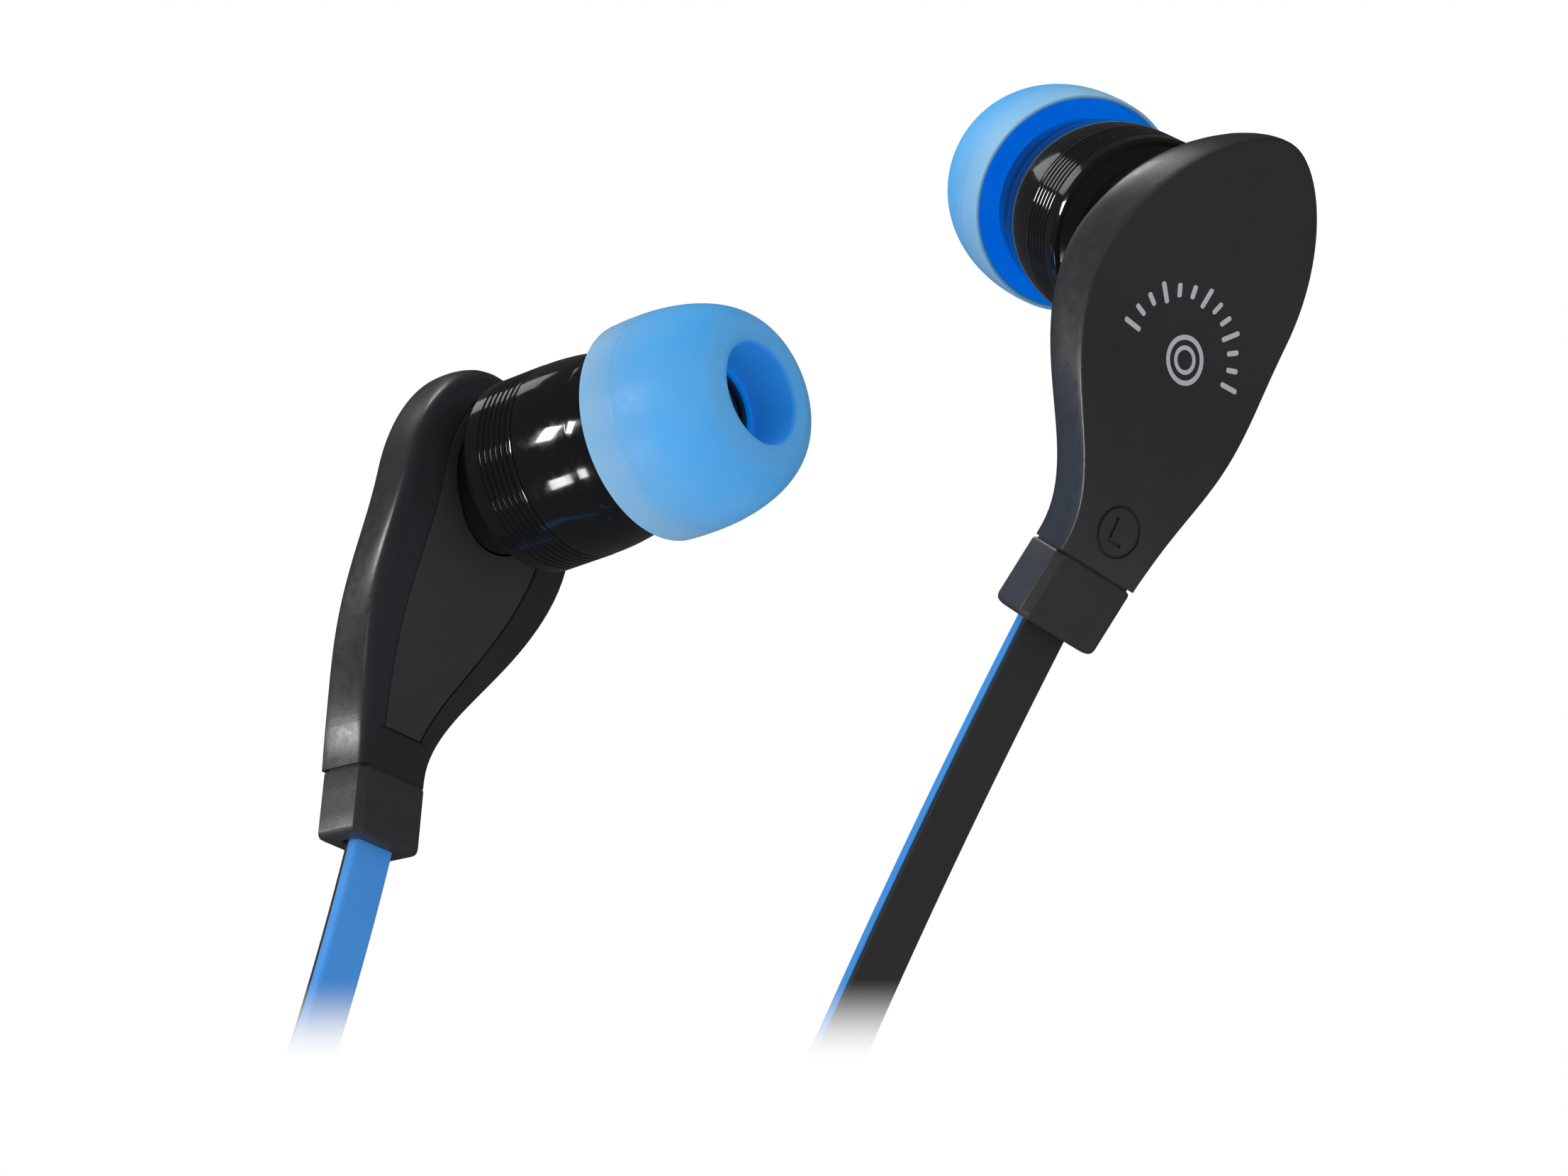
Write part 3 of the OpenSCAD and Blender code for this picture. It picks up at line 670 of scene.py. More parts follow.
def cover(name, at, drive):
    """The insert on the ear side, with a fine rounded edge."""
    gap = 0.07
    levels = [(0.86, 0.0), (1.58, 0.0), (1.615, 0.03), (1.625, 0.09)]
    halves = []
    for dx, inset in levels:
        h = half_ring(dx, -SEAM_NECK - gap - inset, -SEAM_HEAD - gap - inset)[SEAM_ROW:].copy()
        low = PANEL_FOOT + gap + inset
        h[:, 2] = np.maximum(h[:, 2], low)
        h[:, 0] = bend_at(h[:, 2]) + dx
        halves.append(h)
    even = np.linspace(-1, 1, CELLS + 1)
    sheet = Sheets()
    sheet.grid([full_ring(h) for h in halves])
    for h in (halves[0], halves[-1]):
        sheet.grid([row(h, i, even) for i in range(len(h))])
    sheet.grid([row(h, 0, even) for h in halves])
    return cut(sheet.make(name, at, 28), neck_tool(drive, -4))


def relief(name, at):
    """The chamfered block under the paddle, with the cord's slot in its foot."""
    hx, hy, edge = HALF_T + 0.05, 2.6, 0.42

    def ring(z, inset):
        return rounded_rect(hx - inset, hy - inset, 0.1, z, 4, chamfer=edge)

    def slot(z, gap, chamfer=0.28):
        return rounded_rect(CORD_T / 2 + gap, CORD_W / 2 + gap, 0.05, z, 4, chamfer=chamfer)

    top, end = RELIEF_TOP, RELIEF_END
    rings = [
        ring(0.4, 0.16), ring(top + 0.02, 0.16), ring(top, 0.155), ring(top, 0.13), ring(top - 0.03, 0.07),
        ring(top - 0.1, 0.02), ring(top - 0.2, 0.0), ring(-1.4, 0.0), ring(-2.6, 0.0), ring(end + 0.42, 0.0),
        ring(end + 0.25, 0.03), ring(end + 0.12, 0.1), ring(end + 0.04, 0.22), ring(end, 0.38),
        slot(end, 0.17, 0.3), slot(end + 0.06, 0.1), slot(-2.2, 0.08),
    ]
    return loft(name, rings, at, 26)


def on_face(points):
    """Places (across, up, out) points on the paddle's bent outer face."""
    u, v, out = np.asarray(points, float).T
    return np.column_stack([bend_at(v) - HALF_T - out, -u, v])


def bar(cx, cy, long, wide, angle, low, high, name, at):
    """A rounded bar on the outer face, its long side at an angle from across."""
    corner = rounded_rect(long / 2, wide / 2, wide * 0.42, 0, 4)[:, :2]
    c, s = math.cos(angle), math.sin(angle)
    turned = corner @ np.array([[c, s], [-s, c]]) + np.array([cx, cy])
    rings = [on_face(np.column_stack([turned, np.full(len(turned), out)])) for out in (low, high)]
    return loft(name, rings, at, 30)


def hoop(cx, cy, r_out, r_in, low, high, name, at):
    """A flat ring that follows the outer face."""
    turns = np.linspace(0, 2 * math.pi, 73)

    def circle(r, z):
        return on_face([[cx + r * math.cos(t), cy + r * math.sin(t), z] for t in turns])

    sheet = Sheets()
    corners = ((r_out, low), (r_out, high), (r_in, high), (r_in, low), (r_out, low))
    sheet.grid([circle(r, z) for r, z in corners])
    return sheet.make(name, at, 30)


MARK_AT = (-0.1, 2.25)


def mark_tools(at, letter):
    """Cutters for the ring and the letter that are sunk into the outer face near the neck."""
    x, y = MARK_AT
    low, high, w = -0.13, 0.3, 0.2
    tools = [hoop(x, y, 1.36, 1.36 - w * 0.9, low, high, "ring_cutter", at)]
    strokes = {
        "L": [(-0.38, 0.0, 1.35, 90), (0.02, -0.58, 0.95, 0)],
        "R": [(-0.38, 0.0, 1.35, 90), (0.0, 0.58, 0.8, 0), (0.0, 0.03, 0.8, 0), (0.36, 0.3, 0.72, 90),
              (0.22, -0.32, 0.8, 118)],
    }[letter]
    for k, (dx, dy, long, turn) in enumerate(strokes):
        lift = 0.001 * k
        turn = math.radians(turn)
        tools.append(bar(x + dx, y + dy, long, w, turn, low - lift, high + lift, "letter_cutter", at))
    return tools


def printed(name, at):
    """A plain print on the head's outer face: a half circle of strokes over two rings."""
    cx, cy, r = 0.4, 11.5, 3.55
    low, high, strokes = -0.02, 0.018, 13
    pieces = []
    for k in range(strokes):
        a = math.radians(176 - k * 172 / (strokes - 1))
        long = 1.15 if k % 3 == 0 else 0.75
        pieces.append(bar(cx + r * math.cos(a), cy + r * math.sin(a), long, 0.27, a, low, high, name, at))
    for outer, inner in ((1.25, 1.0), (0.72, 0.5)):
        pieces.append(hoop(cx + 0.3, cy + 0.2, outer, inner, low, high, name, at))
    for extra in pieces[1:]:
        cut(pieces[0], extra, "UNION")
    return pieces[0]


# ---- driver housing and tip

GROOVES_FROM, GROOVES_TO, GROOVE_COUNT = 3.32, 5.3, 6
GROOVE_HALF = [(-0.105, 0), (-0.08, 0.015), (-0.05, 0.075), (-0.02, 0.1)]  # along the axis, then depth
CUP_FOOT = -0.7


def cup_profile():
    """The rear housing: a stepped neck, a round body and its fine grooves."""
    section = GROOVE_HALF + [(-along, deep) for along, deep in reversed(GROOVE_HALF)]
    centres = np.linspace(GROOVES_FROM, GROOVES_TO, GROOVE_COUNT)
    grooves = [(CUP_R - deep, z + along) for z in centres for along, deep in section]
    outer = rounded(
        [(CUP_NECK_R, CUP_FOOT), (CUP_NECK_R, 0.82), (4.1, 0.95), (4.1, 1.38), (4.55, 1.5), (5.1, 2.08),
         (CUP_R - 0.14, 2.14), (CUP_R, 2.4), (CUP_R, 3.0)],
        [0, 0.1, 0.05, 0.06, 0.15, 0.08, 0.1, 0.2, 0], 5)
    inner = [(CUP_R - 0.04, 5.68), (4.85, 5.7), (4.85, 2.9), (2.0, 2.9), (2.0, CUP_FOOT)]
    return [*outer, *grooves, (CUP_R, 5.6), (CUP_R - 0.01, 5.65), *inner]


def nozzle_profile():
    """The front housing: a slow taper, a step, a rounded shoulder and the barbed nozzle."""
    front = [(CUP_R - 0.02 - 0.36 * t ** 2, 5.75 + 3.45 * t) for t in np.linspace(0, 1, 24)]
    front += [(5.115, 9.22), (5.11, 9.25), (5.13, 9.29)]
    step_r, step_z, end_r = 5.13, 9.29, CUP_R - 0.66
    shares = np.linspace(0, 1, 9)[1:]
    front += [(step_r + (end_r - step_r) * t ** 1.35, step_z + (SHOULDER - step_z) * t) for t in shares]
    high = NOZZLE_BASE - 0.05 - SHOULDER
    turns = np.radians(np.arange(8, 81, 8))
    dome = [(end_r - 1.6 * (1 - math.cos(a)), SHOULDER + high * math.sin(a)) for a in turns]
    r, barb, mouth = NOZZLE_R, NOZZLE_R + 0.3, 2.05
    stem = rounded(
        [dome[-1], (3.2, NOZZLE_BASE), (r, NOZZLE_BASE), (r, 14.5), (barb, 14.6), (barb, 14.9), (r, 15.2),
         (r, NOZZLE_END), (mouth, NOZZLE_END), (mouth, 15.3), (1.75, 15.3)],
        [0, 0.1, 0.2, 0.08, 0.08, 0.1, 0.1, 0.1, 0.1, 0, 0], 4)
    inner = [(1.75, 11.2), (4.3, 9.3), (4.3, 5.0), (4.8, 5.0), (4.8, 5.72), (CUP_R - 0.05, 5.725)]
    return [*front, *dome[:-1], *stem, *inner]


def tip_profile():
    """The soft tip's profile in three parts: outside, lip and bore, then stem and inside."""
    mid, skirt = TIP_WIDE, 0.42
    depth, crown_r = TIP_FRONT - mid, TIP_OPEN_R + 0.45
    reach = TIP_R - crown_r
    rim = rounded(
        [(TIP_R - 0.3, TIP_RIM + 0.5), (TIP_R - 0.28, TIP_RIM), (TIP_R - 0.04, TIP_RIM), (TIP_R, mid - 0.7)],
        [0, 0.09, 0.11, 0], 6)
    seam = [(6.4, 0.012), (7.0, 0.03), (7.6, 0.012)]
    turns = [(a, 0.0) for a in (0, 1.5, 3, 4.5, 5.9)] + seam + [(a, 0.0) for a in (8.1, *range(10, 79, 3))]
    crown = []
    for turn, dip in turns:
        a = math.radians(turn)
        crown.append((crown_r + reach * math.cos(a) ** 0.93 - dip, mid + depth * math.sin(a) ** 0.98))
    lip = rounded(
        [crown[-1], (TIP_OPEN_R + 0.62, TIP_FRONT), (TIP_OPEN_R, TIP_FRONT - 0.2),
         (TIP_OPEN_R, NOZZLE_END + 0.1)],
        [0, 0.5, 0.45, 0], 7)
    hold, barb, stem = NOZZLE_R + 0.05, NOZZLE_R + 0.36, NOZZLE_R + 0.72
    socket = [(hold, NOZZLE_END + 0.1), (hold, 15.3), (barb, 15.2), (barb, 14.45), (hold, 14.4),
              (hold, 12.15), (stem, 12.15), (stem + 0.05, 15.2), (stem + 0.5, 16.0)]
    web_r = TIP_OPEN_R + 0.3
    inside = [(web_r + (TIP_R - skirt - web_r) * math.cos(a), mid + (depth - 1.3) * math.sin(a))
              for a in np.radians(np.arange(60, -1, -6))]
    inside += [(TIP_R - skirt + 0.01, mid - 0.4), (TIP_R - 0.3, TIP_RIM + 0.5),
               (TIP_R - 0.29, TIP_RIM + 0.14)]
    return [(*rim[1:], *crown[:-1]), lip, (*socket, *inside)]


def ear_tip(name, drive):
    """The soft tip. Its points hold a depth, and an inner share that places the painted shade and painted
    glow: 1 inside and on the stem, 0.5 in the bore.
    """
    parts = tip_profile()
    profile = np.array([p for part in parts for p in part])
    shares = np.repeat([0.0, 0.5, 1.0], [len(part) for part in parts])
    shares = np.where((shares == 0.5) & (profile[:, 0] > TIP_OPEN_R + 0.1), 0.0, shares)
    obj = lathe(name, profile, drive, steps=144, angle=40)
    axis, foot = drive.axes[2], drive.origin
    co = np.array([v.co for v in obj.data.vertices], float) / MM
    along = (co - foot) @ axis
    radius = np.linalg.norm(co - foot - along[:, None] * axis, axis=1)
    misses = np.column_stack([radius, along])[:, None] - profile[None]
    nearest = np.argmin((misses ** 2).sum(axis=2), axis=1)
    for label, values in (("depth", (along - TIP_RIM) / (TIP_FRONT - TIP_RIM)), ("inner", shares[nearest])):
        layer = obj.data.attributes.new(label, "FLOAT", "POINT")
        layer.data.foreach_set("value", values.astype(np.float32))
    return obj


# ---- cords

def section(lo, hi, outer_high):
    """A cord layer's section, rounded on its outer side, as places along the width and the normal.

    The thin black layer is a little narrower than the blue one.
    """
    thin = hi - lo < CORD_T / 2
    w = CORD_W / 2 - (0.09 if thin else 0.0)
    r, e = (0.16 if thin else 0.34), 0.05
    face, back = (hi, lo) if outer_high else (lo, hi)
    step = e if outer_high else -e
    corners = [(-w + e, back), (-w, back + step), (-w, face), (w, face), (w, back + step), (w - e, back)]
    return rounded(corners, [0, 0, r, r, 0, 0], 7)


def travelled(line):
    """The length travelled along a line of points, at each point."""
    return np.concatenate([[0], np.cumsum(np.linalg.norm(np.diff(line, axis=0), axis=1))])


def ribbon(name, stations, lo, hi, outer_high):
    """Sweeps a cord layer along stations of (place, direction, width direction, normal)."""
    shape = section(lo, hi, outer_high)
    p = np.array([s[0] for s in stations])
    w = np.array([s[2] for s in stations])
    nrm = np.array([s[3] for s in stations])
    rings = p[:, None] + w[:, None] * shape[None, :, :1] + nrm[:, None] * shape[None, :, 1:]
    n, m = rings.shape[:2]
    along = travelled(p)
    around = travelled(np.vstack([shape, shape[:1]]))
    faces, uvs = [], []
    for i in range(n - 1):
        for k in range(m):
            j = (k + 1) % m
            faces.append((i * m + k, i * m + j, (i + 1) * m + j, (i + 1) * m + k))
            a, b, c, d = around[k], around[k + 1], along[i], along[i + 1]
            uvs += [(a, c), (b, c), (b, d), (a, d)]
    for base, order in ((0, range(m)), ((n - 1) * m, range(m - 1, -1, -1))):
        faces.append([base + k for k in order])
        uvs += [(shape[k][0], shape[k][1]) for k in order]
    mesh = bpy.data.meshes.new(name)
    mesh.from_pydata((rings.reshape(-1, 3) * MM).tolist(), [], faces)
    layer = mesh.uv_layers.new(name="UVMap")
    layer.data.foreach_set("uv", np.array(uvs, np.float32).ravel())
    finish_mesh(mesh, 40)
    return link(name, mesh)


def cord_stations(side, at, to):
    """Down from the earpiece in its own plane, then a free curve to the splitter."""
    lean, bend = CORDS[side]
    k = math.radians(bend)

    def planar(s):
        a, a0 = math.radians(lean + bend * s), math.radians(lean)
        p = np.array([-(math.cos(a0) - math.cos(a)) / k, 0, FLEX_Z - (math.sin(a) - math.sin(a0)) / k])
        d = at.turn([-math.sin(a), 0, -math.cos(a)])
        return at(p), d, at.axes[1], np.cross(d, at.axes[1])

    first = planar(0.0)
    upper = [(first[0] - first[1] * b, *first[1:]) for b in TUCK]
    upper += [planar(s) for s in np.linspace(0, PLANAR_LEN, UPPER_STEPS)]
    start = upper[-1]
    p = np.array([start[0], start[0] + 12 * start[1], to[0] - 14 * to[1], to[0]])
    lower = []
    for u in np.linspace(0, 1, LOWER_STEPS):
        v = 1 - u
        d = unit(3 * v ** 2 * (p[1] - p[0]) + 6 * v * u * (p[2] - p[1]) + 3 * u * u * (p[3] - p[2]))
        w = start[2] * (1 - smooth(u)) + to[2] * smooth(u)
        w = unit(w - (w @ d) * d)
        lower.append((bezier(p, [u])[0], d, w, np.cross(d, w)))
    last = lower[-1]
    lower += [(last[0] + last[1] * b, *last[1:]) for b in (0.4, 0.9, 1.5, 2.2)]
    return upper, lower


def roll_stations():
    """The main cord: straight down, half turns whose centres alternate, then into the plug's boot."""
    base = np.array([-PLUG_BODY_HALF - SLEEVE_LEN / 2, 0.0, -LEAD_R])
    wide = np.array([1.0, 0, 0])
    out_r = ROLL_IN + (HALF_TURNS - 1) * PITCH / 2
    top = SPLITTER_TOP[2] - SPLITTER[2] - base[2]

    def station(y, z, d, n):
        return base + np.array([0, y, z]), np.array([0, *d]), wide, np.array([0, *n])

    def arc(cy, r, degrees):
        for a in np.radians(degrees):
            c, s = math.cos(a), math.sin(a)
            line.append(station(cy + r * c, r * s, (-s, c), (c, s)))

    line = [station(-out_r, z, (0, -1), (-1, 0)) for z in np.linspace(top + 1.5, 0.5, 14)]
    for k in range(HALF_TURNS):
        lower = k % 2 == 0
        arc(0 if lower else PITCH / 2, out_r - k * PITCH / 2, np.arange(0, 180, 5) + (180 if lower else 0))
    arc(ROLL_IN - LEAD_R, LEAD_R, np.arange(0, 91, 6))
    for y in (5.4, 4.7, 4.1):
        line.append(station(y, LEAD_R, (-1, 0), (0, 1)))
    return line


# ---- build: earpieces

def cad_looks(looks):
    """Gives the CAD nodes that stay visible their materials."""
    for node, mat in looks.items():
        obj = frame["nodes"][node]
        if obj.material_slots:
            for s in obj.material_slots:
                s.material = mat
        else:
            obj.data.materials.append(mat)


SPLITTER_LOW, SPLITTER_HIGH = [np.array(v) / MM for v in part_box("splitter_front")]
SEAM_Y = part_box("splitter_back")[0][1] / MM - 0.01
SPLITTER_TOP = np.array([(SPLITTER_LOW[0] + SPLITTER_HIGH[0]) / 2, SEAM_Y, SPLITTER_HIGH[2]])
INNER_LOOKS = {
    "cord_anchor": CRIMP, "lead_wires": COPPER, "nozzle_mesh": MESH_METAL, "damper": FELT,
    "driver_frame": BRASS, "yoke": STEEL, "magnet": MAGNET, "pole_plate": STEEL,
    "terminal_board": BOARD, "voice_coil": COPPER, "diaphragm": FILM,
}
HEAD_RISE = {"left": 0.45, "right": -0.15}  # how much taller each head is drawn than in the CAD

for side, letter in (("left", "L"), ("right", "R")):
    body = side + "_earpiece"
    at, offset = earpiece_place(side)
    drive = driver_place(side, at, offset)
    shell = paddle(side + "_paddle", at, drive, HEAD_RISE[side], letter)
    keep(shell, body, SHELL, "shell_black", side + "_shell")
    keep(cover(side + "_cover", at, drive), body, PANEL, "panel_black", side + "_cover_panel")
    keep(relief(side + "_relief", at), body, RELIEF, "shell_black", side + "_strain_relief")
    keep(lathe(side + "_cup", cup_profile(), drive), body, GLOSS, "housing_gloss", side + "_driver_cup")
    front = lathe(side + "_housing_front", nozzle_profile(), drive)
    keep(front, body, GLOSS, "housing_gloss", side + "_nozzle")
    keep(ear_tip(side + "_silicone_tip", drive), side + "_tip", SILICONE, "tip_silicone", side + "_ear_tip")
    cad_looks({side + "_" + node: mat for node, mat in INNER_LOOKS.items()})
    if side == "left":
        keep(printed("left_print", at), body, PRINT, "shell_black")

    across = 1 if side == "left" else -1
    into = SPLITTER_TOP + np.array([across * BRANCH_X, 0, 0.7])
    upper, lower = cord_stations(side, at, (into, np.array([0, 0, -1.0]), np.array([-across, 0, 0.0])))
    for layer, lo, hi, high, mat in (
        ("black", -CORD_T / 2, BLACK_T - CORD_T / 2, False, CORD_BLACK),
        ("blue", BLACK_T - CORD_T / 2, CORD_T / 2, True, CORD_BLUE),
    ):
        slot = "cord_" + layer
        node = f"{side}_{slot}"
        top = keep(ribbon(node + "_upper", upper, lo, hi, high), None, mat, slot, node)
        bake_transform(top)
        low = keep(ribbon(node + "_lower", lower, lo, hi, high), None, mat, slot, node)
        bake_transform(low)


# ---- build: splitter, roll, tie and plug

def splitter_half(name, front):
    """Half of the splitter, with rounded ends, three grip grooves and slots for the cords."""
    hx, hy, height = SPLITTER[0] / 2, SPLITTER[1] / 2, SPLITTER[2]
    sign = -1 if front else 1
    seam, r = 0.015, 1.15

    def ring(z, inset):
        x, y = hx - inset, hy - inset
        flat = rounded([(-x, seam), (-x, y), (x, y), (x, seam)], [0, r, r, 0], 8)
        inner = np.linspace(x, -x, 14)[1:-1]
        flat = np.vstack([flat, np.column_stack([inner, np.full(len(inner), seam)])])
        return np.column_stack([flat[:, 0], sign * flat[:, 1], np.full(len(flat), z)])

    curve = [(0, 0.55), (0.05, 0.3), (0.17, 0.12), (0.35, 0.03), (0.6, 0.0)]
    rings = [ring(-d, i) for d, i in curve]
    for k in range(3):
        z = -5.5 - 2.0 * k
        groove = ((0.35, 0.0), (0.25, 0.05), (0.15, 0.16))
        rings += [ring(z + off, inset) for off, inset in groove]
        rings += [ring(z - off, inset) for off, inset in reversed(groove)]
    rings += [ring(-height + d, i) for d, i in reversed(curve)]
    place = Place(SPLITTER_TOP, (1, 0, 0), (0, 1, 0), (0, 0, 1))
    obj = loft(name, rings, place, 28)
    for x, z0, z1 in ((-BRANCH_X, -4.4, 1.0), (BRANCH_X, -4.4, 1.0), (0.0, -height - 1, -height + 4.4)):
        slot = [rounded_rect(CORD_W / 2 + 0.06, CORD_T / 2 + 0.06, 0.25, z, 4) + np.array([x, 0, 0])
                for z in (z0, z1)]
        obj = cut(obj, loft("slot_cutter", slot, place))
    return obj


for half in ("front", "back"):
    shell = splitter_half("splitter_shell_" + half, half == "front")
    keep(shell, "hub", PLUG_BLACK, "plug_black", "splitter_" + half)
cad_looks({"splitter_splice": CRIMP})

roll = roll_stations()
bond = CORD_T / 2 - BLACK_T
black_layer = ribbon("main_cord_black_layer", roll, bond, CORD_T / 2, True)
keep(black_layer, "hub", CORD_BLACK, "cord_black", "main_cord_black")
blue_layer = ribbon("main_cord_blue_layer", roll, -CORD_T / 2, bond, False)
keep(blue_layer, "hub", CORD_BLUE, "cord_blue", "main_cord_blue")


def tie(name):
    """A strap round the roll, with its end lapped over."""
    gap, thick, half_width = 0.12, 0.46, 2.5
    x0 = ROLL_IN - CORD_T / 2 - gap
    x1 = ROLL_IN + (HALF_TURNS - 1) * PITCH / 2 + CORD_T / 2 + gap
    hz = CORD_W / 2 + gap
    place = Place((-PLUG_BODY_HALF - SLEEVE_LEN / 2, PITCH / 2, -LEAD_R), (0, 1, 0), (0, 0, 1), (1, 0, 0))
    path = rounded([(x1, -hz), (x1, hz), (x0, hz), (x0, -hz)], 0.5, 8, closed=True)
    middle = np.array([(x0 + x1) / 2, 0])
    corners = [(0.02, -half_width), (thick, -half_width), (thick, half_width), (0.02, half_width)]
    cross = rounded(corners, 0.14, 4, closed=True)

    def sweep(line, thicks, widths, loop):
        rows = []
        last = len(line) - 1
        for i, at in enumerate(line):
            before = line[i - 1] if loop or i else at
            after = line[(i + 1) % (last + 1)] if loop or i < last else at
            d = unit(after - before)
            out = np.array([d[1], -d[0]])
            if out @ (at - middle) < 0:
                out = -out
            outwards = [at + out * t * thicks[i] for t, _ in cross]
            rows.append(np.array([(p[0], w * widths[i], p[1]) for p, (_, w) in zip(outwards, cross)]))
        return rows

    sheet = Sheets()
    n = len(path)
    loop = sweep(path, [1] * n, [1] * n, True)
    sheet.grid([np.vstack([r, r[:1]]) for r in loop + loop[:1]])
    obj = sheet.make(name, place, 35)
    steps = 12
    lap = [np.array([x, hz + thick]) for x in np.linspace(x0 + 1.2, x1 - 0.6, steps)]
    rings = sweep(lap, [0.9] * steps, [0.6, *[1.0] * (steps - 2), 0.9], False)
    flap = loft(name + "_flap", rings, place, 35)
    return obj, flap


strap, flap = tie("cord_strap")
keep(strap, "hub", TIE, "tie", "cord_tie")
keep(flap, "hub", TIE, "tie", "cord_tie")

PLUG = Place((-SLEEVE_LEN / 2, 0, 0), (0, 1, 0), (0, 0, 1), (1, 0, 0))


def plug_profile():
    """The moulded grip, with four grooves round it."""
    r = PLUG_BODY_R
    points = [(0, -2 * PLUG_BODY_HALF), (r, -2 * PLUG_BODY_HALF), (r, -6.2)]
    radii = [0, 0.8, 0.05]
    for k in range(4):
        z = -6.1 + k * 1.05
        points += [(r, z), (r - 0.22, z + 0.12), (r - 0.22, z + 0.48), (r, z + 0.6)]
        radii += [0.05, 0.08, 0.08, 0.05]
    points += [(r, -0.6), (3.1, -0.45), (3.1, -0.02), (PLUG_R, 0.0), (PLUG_R - 0.1, -5.4), (0, -5.4)]
    radii += [0.5, 0.1, 0.15, 0, 0, 0]
    return rounded(points, radii, 5)


def boot(name):
    """The block on the grip's side that the cord goes into."""
    place = Place((-PLUG_BODY_HALF - SLEEVE_LEN / 2, 0, 0), (1, 0, 0), (0, 0, 1), (0, 1, 0))
    rings = []
    for z, inset in ((0.5, 0.0), (2.5, 0.0), (4.9, 0.02), (5.3, 0.08), (5.5, 0.2), (5.58, 0.36)):
        rings.append(rounded_rect(2.3 - inset, 1.6 - inset, 0.6, z, 6))
    for z, gap in ((5.6, 0.16), (5.4, 0.08), (4.2, 0.08)):
        rings.append(rounded_rect(CORD_W / 2 + gap, CORD_T / 2 + gap, 0.25, z, 6))
    return loft(name, rings, place, 30)


keep(lathe("plug_grip", plug_profile(), PLUG, closed=False), "hub", PLUG_BLACK, "plug_black", "plug_body")
keep(boot("plug_boot"), "hub", PLUG_BLACK, "plug_black", "plug_body")
CONTACT_BORE = 1.2


def contact(name, low, high, foot_round, node):
    """A ring-shaped contact of the plug, between two heights."""
    corners = [(CONTACT_BORE, low), (PLUG_R, low), (PLUG_R, high), (CONTACT_BORE, high)]
    ring = lathe(name, rounded(corners, [0, foot_round, 0.1, 0], 4), PLUG, steps=96)
    keep(ring, "hub", GOLD, "contact_gold", node)


contact("plug_contact_sleeve", 0.0, SLEEVE_LEN - 0.02, 0.08, "plug_sleeve")
contact("plug_contact_ring", SLEEVE_LEN + 0.72, SLEEVE_LEN + 2.6, 0.1, "plug_ring")
tip_from = SLEEVE_LEN + 3.32
tip_corners = [(0, -0.2), (0.9, -0.2), (0.9, 0), (1.7, 0), (1.7, 0.35), (1.28, 0.95), (1.72, 1.6), (1.5, 2.2),
               (0.55, 2.92), (0, 3.0)]
tip_rounds = [0, 0, 0, 0.08, 0.15, 0.35, 0.3, 0.35, 0.3, 0]
tip_points = rounded([(r, tip_from + z) for r, z in tip_corners], tip_rounds, 6)
plug_tip = lathe("plug_contact_tip", tip_points, PLUG, closed=False, steps=96)
keep(plug_tip, "hub", GOLD, "contact_gold", "plug_tip")
cad_looks({"plug_insulator": INSULATOR})


# ---- stage, lights and camera

FLOOR_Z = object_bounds()[0].z - 0.0006


def plain(name, colour, rough):
    look = Look(name, colour, rough)
    look.paint(look.blend(look.noise(0.02, 2.0), tint(colour, 0.99), tint(colour, 1.01)))
    return look.mat


FLOOR_R, FLOOR_STEPS = 0.44, 96
turns = np.linspace(0, 2 * math.pi, FLOOR_STEPS, endpoint=False)
floor_mesh = bpy.data.meshes.new("floor")
circle = [(FLOOR_R * math.cos(t), FLOOR_R * math.sin(t), FLOOR_Z) for t in turns]
floor_mesh.from_pydata(circle, [], [list(range(FLOOR_STEPS))])
floor = link("floor", floor_mesh)
floor_mesh.materials.append(plain("floor_pale", (0.86, 0.86, 0.86), 0.7))
floor.visible_glossy = False

AMBIENT, GLOSSY_AMBIENT, BACKDROP = 0.76, 0.05, 1.0


def studio_world():
    """Light grey to diffuse rays, nearly black to mirror rays, and white to the camera."""
    world = bpy.data.worlds.new("studio")
    bpy.context.scene.world = world
    world.use_nodes = True
    tree = world.node_tree
    rays = tree.nodes.new("ShaderNodeLightPath")
    level = None
    for output, grey in (("Is Glossy Ray", GLOSSY_AMBIENT), ("Is Camera Ray", BACKDROP)):
        mix = tree.nodes.new("ShaderNodeMix")
        mix.data_type = "RGBA"
        mix.inputs[6].default_value = (AMBIENT, AMBIENT, AMBIENT, 1)
        if level:
            tree.links.new(level, mix.inputs[6])
        mix.inputs[7].default_value = (grey, grey, grey, 1)
        tree.links.new(rays.outputs[output], mix.inputs[0])
        level = mix.outputs[2]
    tree.links.new(level, tree.nodes["Background"].inputs["Color"])


studio_world()


def softbox(name, place, target, size, power, size_y=None):
    """A rectangular area light that points at the target and isn't seen itself."""
    light = bpy.data.lights.new(name, "AREA")
    light.shape, light.energy = "RECTANGLE", power
    light.size, light.size_y = size, size_y or size
    obj = bpy.data.objects.new(name, light)
    bpy.context.scene.collection.objects.link(obj)
    obj.location = place
    obj.rotation_mode = "QUATERNION"
    obj.rotation_quaternion = (Vector(place) - Vector(target)).to_track_quat("Z", "Y")
    obj.visible_camera = False
    return obj


HEADS = Vector((0.008, -0.012, 0.095))
FAR, NEAR, CLOSE = 0.8, 0.19, 0.11


def lamp(name, direction, distance, size, power, size_y=None, mirrored_in_gloss=True):
    """A softbox seen from the earpieces in this direction."""
    place = HEADS + Vector(direction).normalized() * distance
    light = softbox(name, place, HEADS, size, power, size_y)
    light.visible_glossy = mirrored_in_gloss


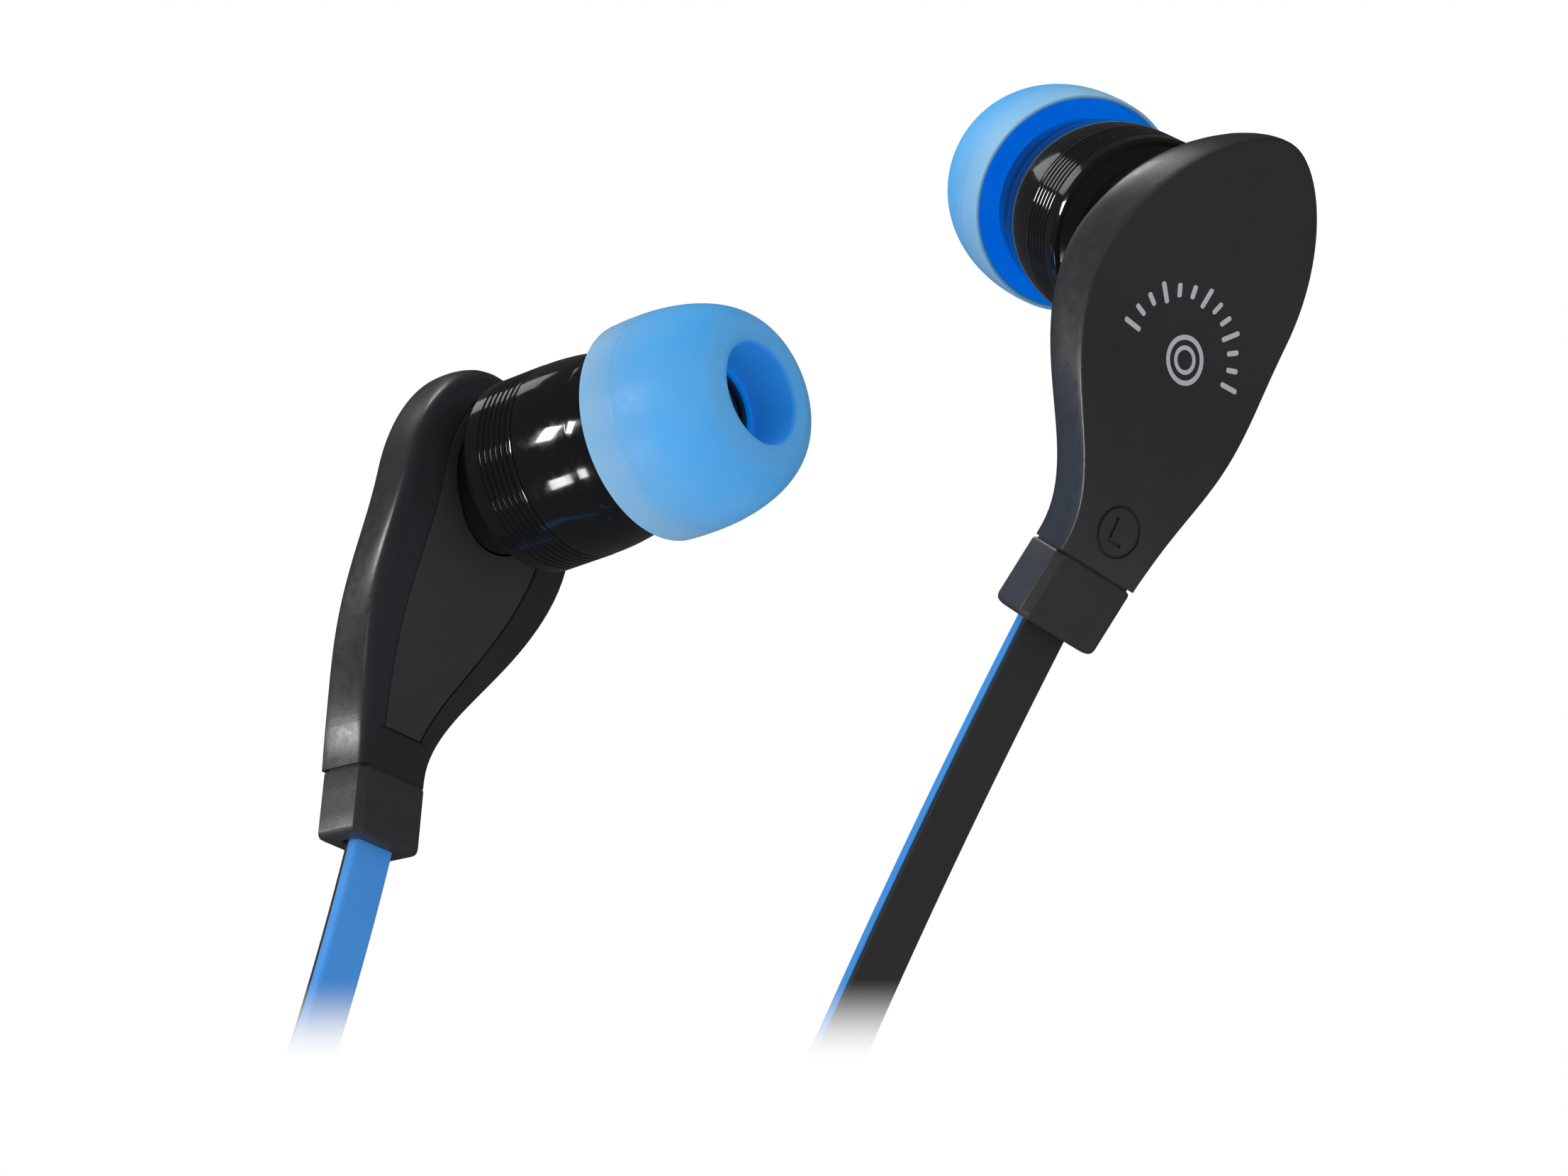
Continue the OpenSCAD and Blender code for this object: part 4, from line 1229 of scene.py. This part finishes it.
lamp("key", (-0.88, -0.40, 0.26), FAR, 0.1, 1.4, 0.16)
lamp("low_left", (-0.71, -0.48, -0.54), NEAR, 0.03, 0.035)
lamp("back_strip", (-0.55, 0.6, 0.58), FAR, 0.2, 0.12)
lamp("back_fill", (-0.55, 0.6, 0.58), FAR, 0.3, 1.2, mirrored_in_gloss=False)
lamp("low_front", (0.3, -0.75, -0.6), CLOSE, 0.04, 0.012, mirrored_in_gloss=False)
lamp("top_fill", (0.1, 0.1, 1.0), FAR, 0.5, 1.0, 0.4, mirrored_in_gloss=False)


def lit_only(name, endings):
    """A set of the pieces whose names end like this, for lights that reach nothing else."""
    group = bpy.data.collections.new(name)
    for piece in bpy.data.objects:
        if piece.type == "MESH" and piece.name.endswith(endings):
            group.objects.link(piece)
    return group


satin = lit_only("satin_parts", ("_paddle", "_relief", "_cover"))
left_tip = lit_only("left_tip_only", ("left_silicone_tip",))
for name, group, direction, size, power in (
    ("satin_side", satin, (-0.97, -0.17, 0.17), 0.1, 2.2),
    ("satin_top", satin, (-0.3, 0.5, 0.8), 0.2, 1.0),
    ("tip_fill", left_tip, (-0.58, -0.41, 0.53), 0.3, 1.6),
):
    light = softbox(name, HEADS + Vector(direction).normalized() * FAR, HEADS, size, power)
    light.light_linking.receiver_collection = group
face_low = softbox("face_low", (0.03, -0.055, 0.062), (0.022, -0.024, 0.088), 0.02, 0.01)
face_low.visible_glossy = False
face_low.light_linking.receiver_collection = lit_only("left_paddle_only", ("left_paddle",))

CAMERA_AT = Vector((0.0066, -0.2122, 0.085))
LENS, SENSOR = 84.76, 36.0


def fade_card():
    """A card close to the main camera that fades the foot of its picture to white. No other view sees it."""
    near = 0.03
    across = near * SENSOR / LENS
    top, clear, bottom = 0.248, 0.302, 0.42
    mesh = bpy.data.meshes.new("fade_card")
    half = 0.55 * across
    flat = ((-half, top), (half, top), (half, bottom), (-half, bottom))
    corners = [(x, near, -h * across) for x, h in flat]
    mesh.from_pydata([tuple(CAMERA_AT + Vector(c)) for c in corners], [], [(0, 1, 2, 3)])
    card = link("fade_card", mesh)
    look = Look("fade_white", (1.0, 1.0, 1.0))
    height = look.node("ShaderNodeSeparateXYZ")
    look.tie(look.node("ShaderNodeNewGeometry").outputs["Position"], height.inputs[0])
    fade = look.node("ShaderNodeMapRange", interpolation_type="SMOOTHSTEP")
    look.tie(height.outputs["Z"], fade.inputs["Value"])
    fade.inputs["From Min"].default_value = CAMERA_AT.z - top * across
    fade.inputs["From Max"].default_value = CAMERA_AT.z - clear * across
    close = look.math("LESS_THAN", look.node("ShaderNodeCameraData").outputs["View Distance"], 1.5 * near)
    seen = look.node("ShaderNodeLightPath").outputs["Is Camera Ray"]
    share = look.math("MULTIPLY", look.math("MULTIPLY", fade.outputs["Result"], close), seen)
    mix = look.node("ShaderNodeMixShader")
    look.tie(share, mix.inputs[0])
    look.tie(look.node("ShaderNodeBsdfTransparent").outputs[0], mix.inputs[1])
    look.tie(look.node("ShaderNodeEmission").outputs[0], mix.inputs[2])
    look.tie(mix.outputs[0], look.tree.nodes["Material Output"].inputs["Surface"])
    mesh.materials.append(look.mat)
    card.visible_shadow = False


fade_card()
camera = bpy.data.cameras.new("camera")
camera.sensor_width, camera.lens = SENSOR, LENS
camera.clip_start, camera.clip_end = 0.01, 20.0
view = bpy.data.objects.new("camera", camera)
bpy.context.scene.collection.objects.link(view)
view.location = CAMERA_AT
view.rotation_euler = (math.radians(90), 0, 0)
bpy.context.scene.camera = view
bpy.context.scene.view_settings.view_transform = "Standard"
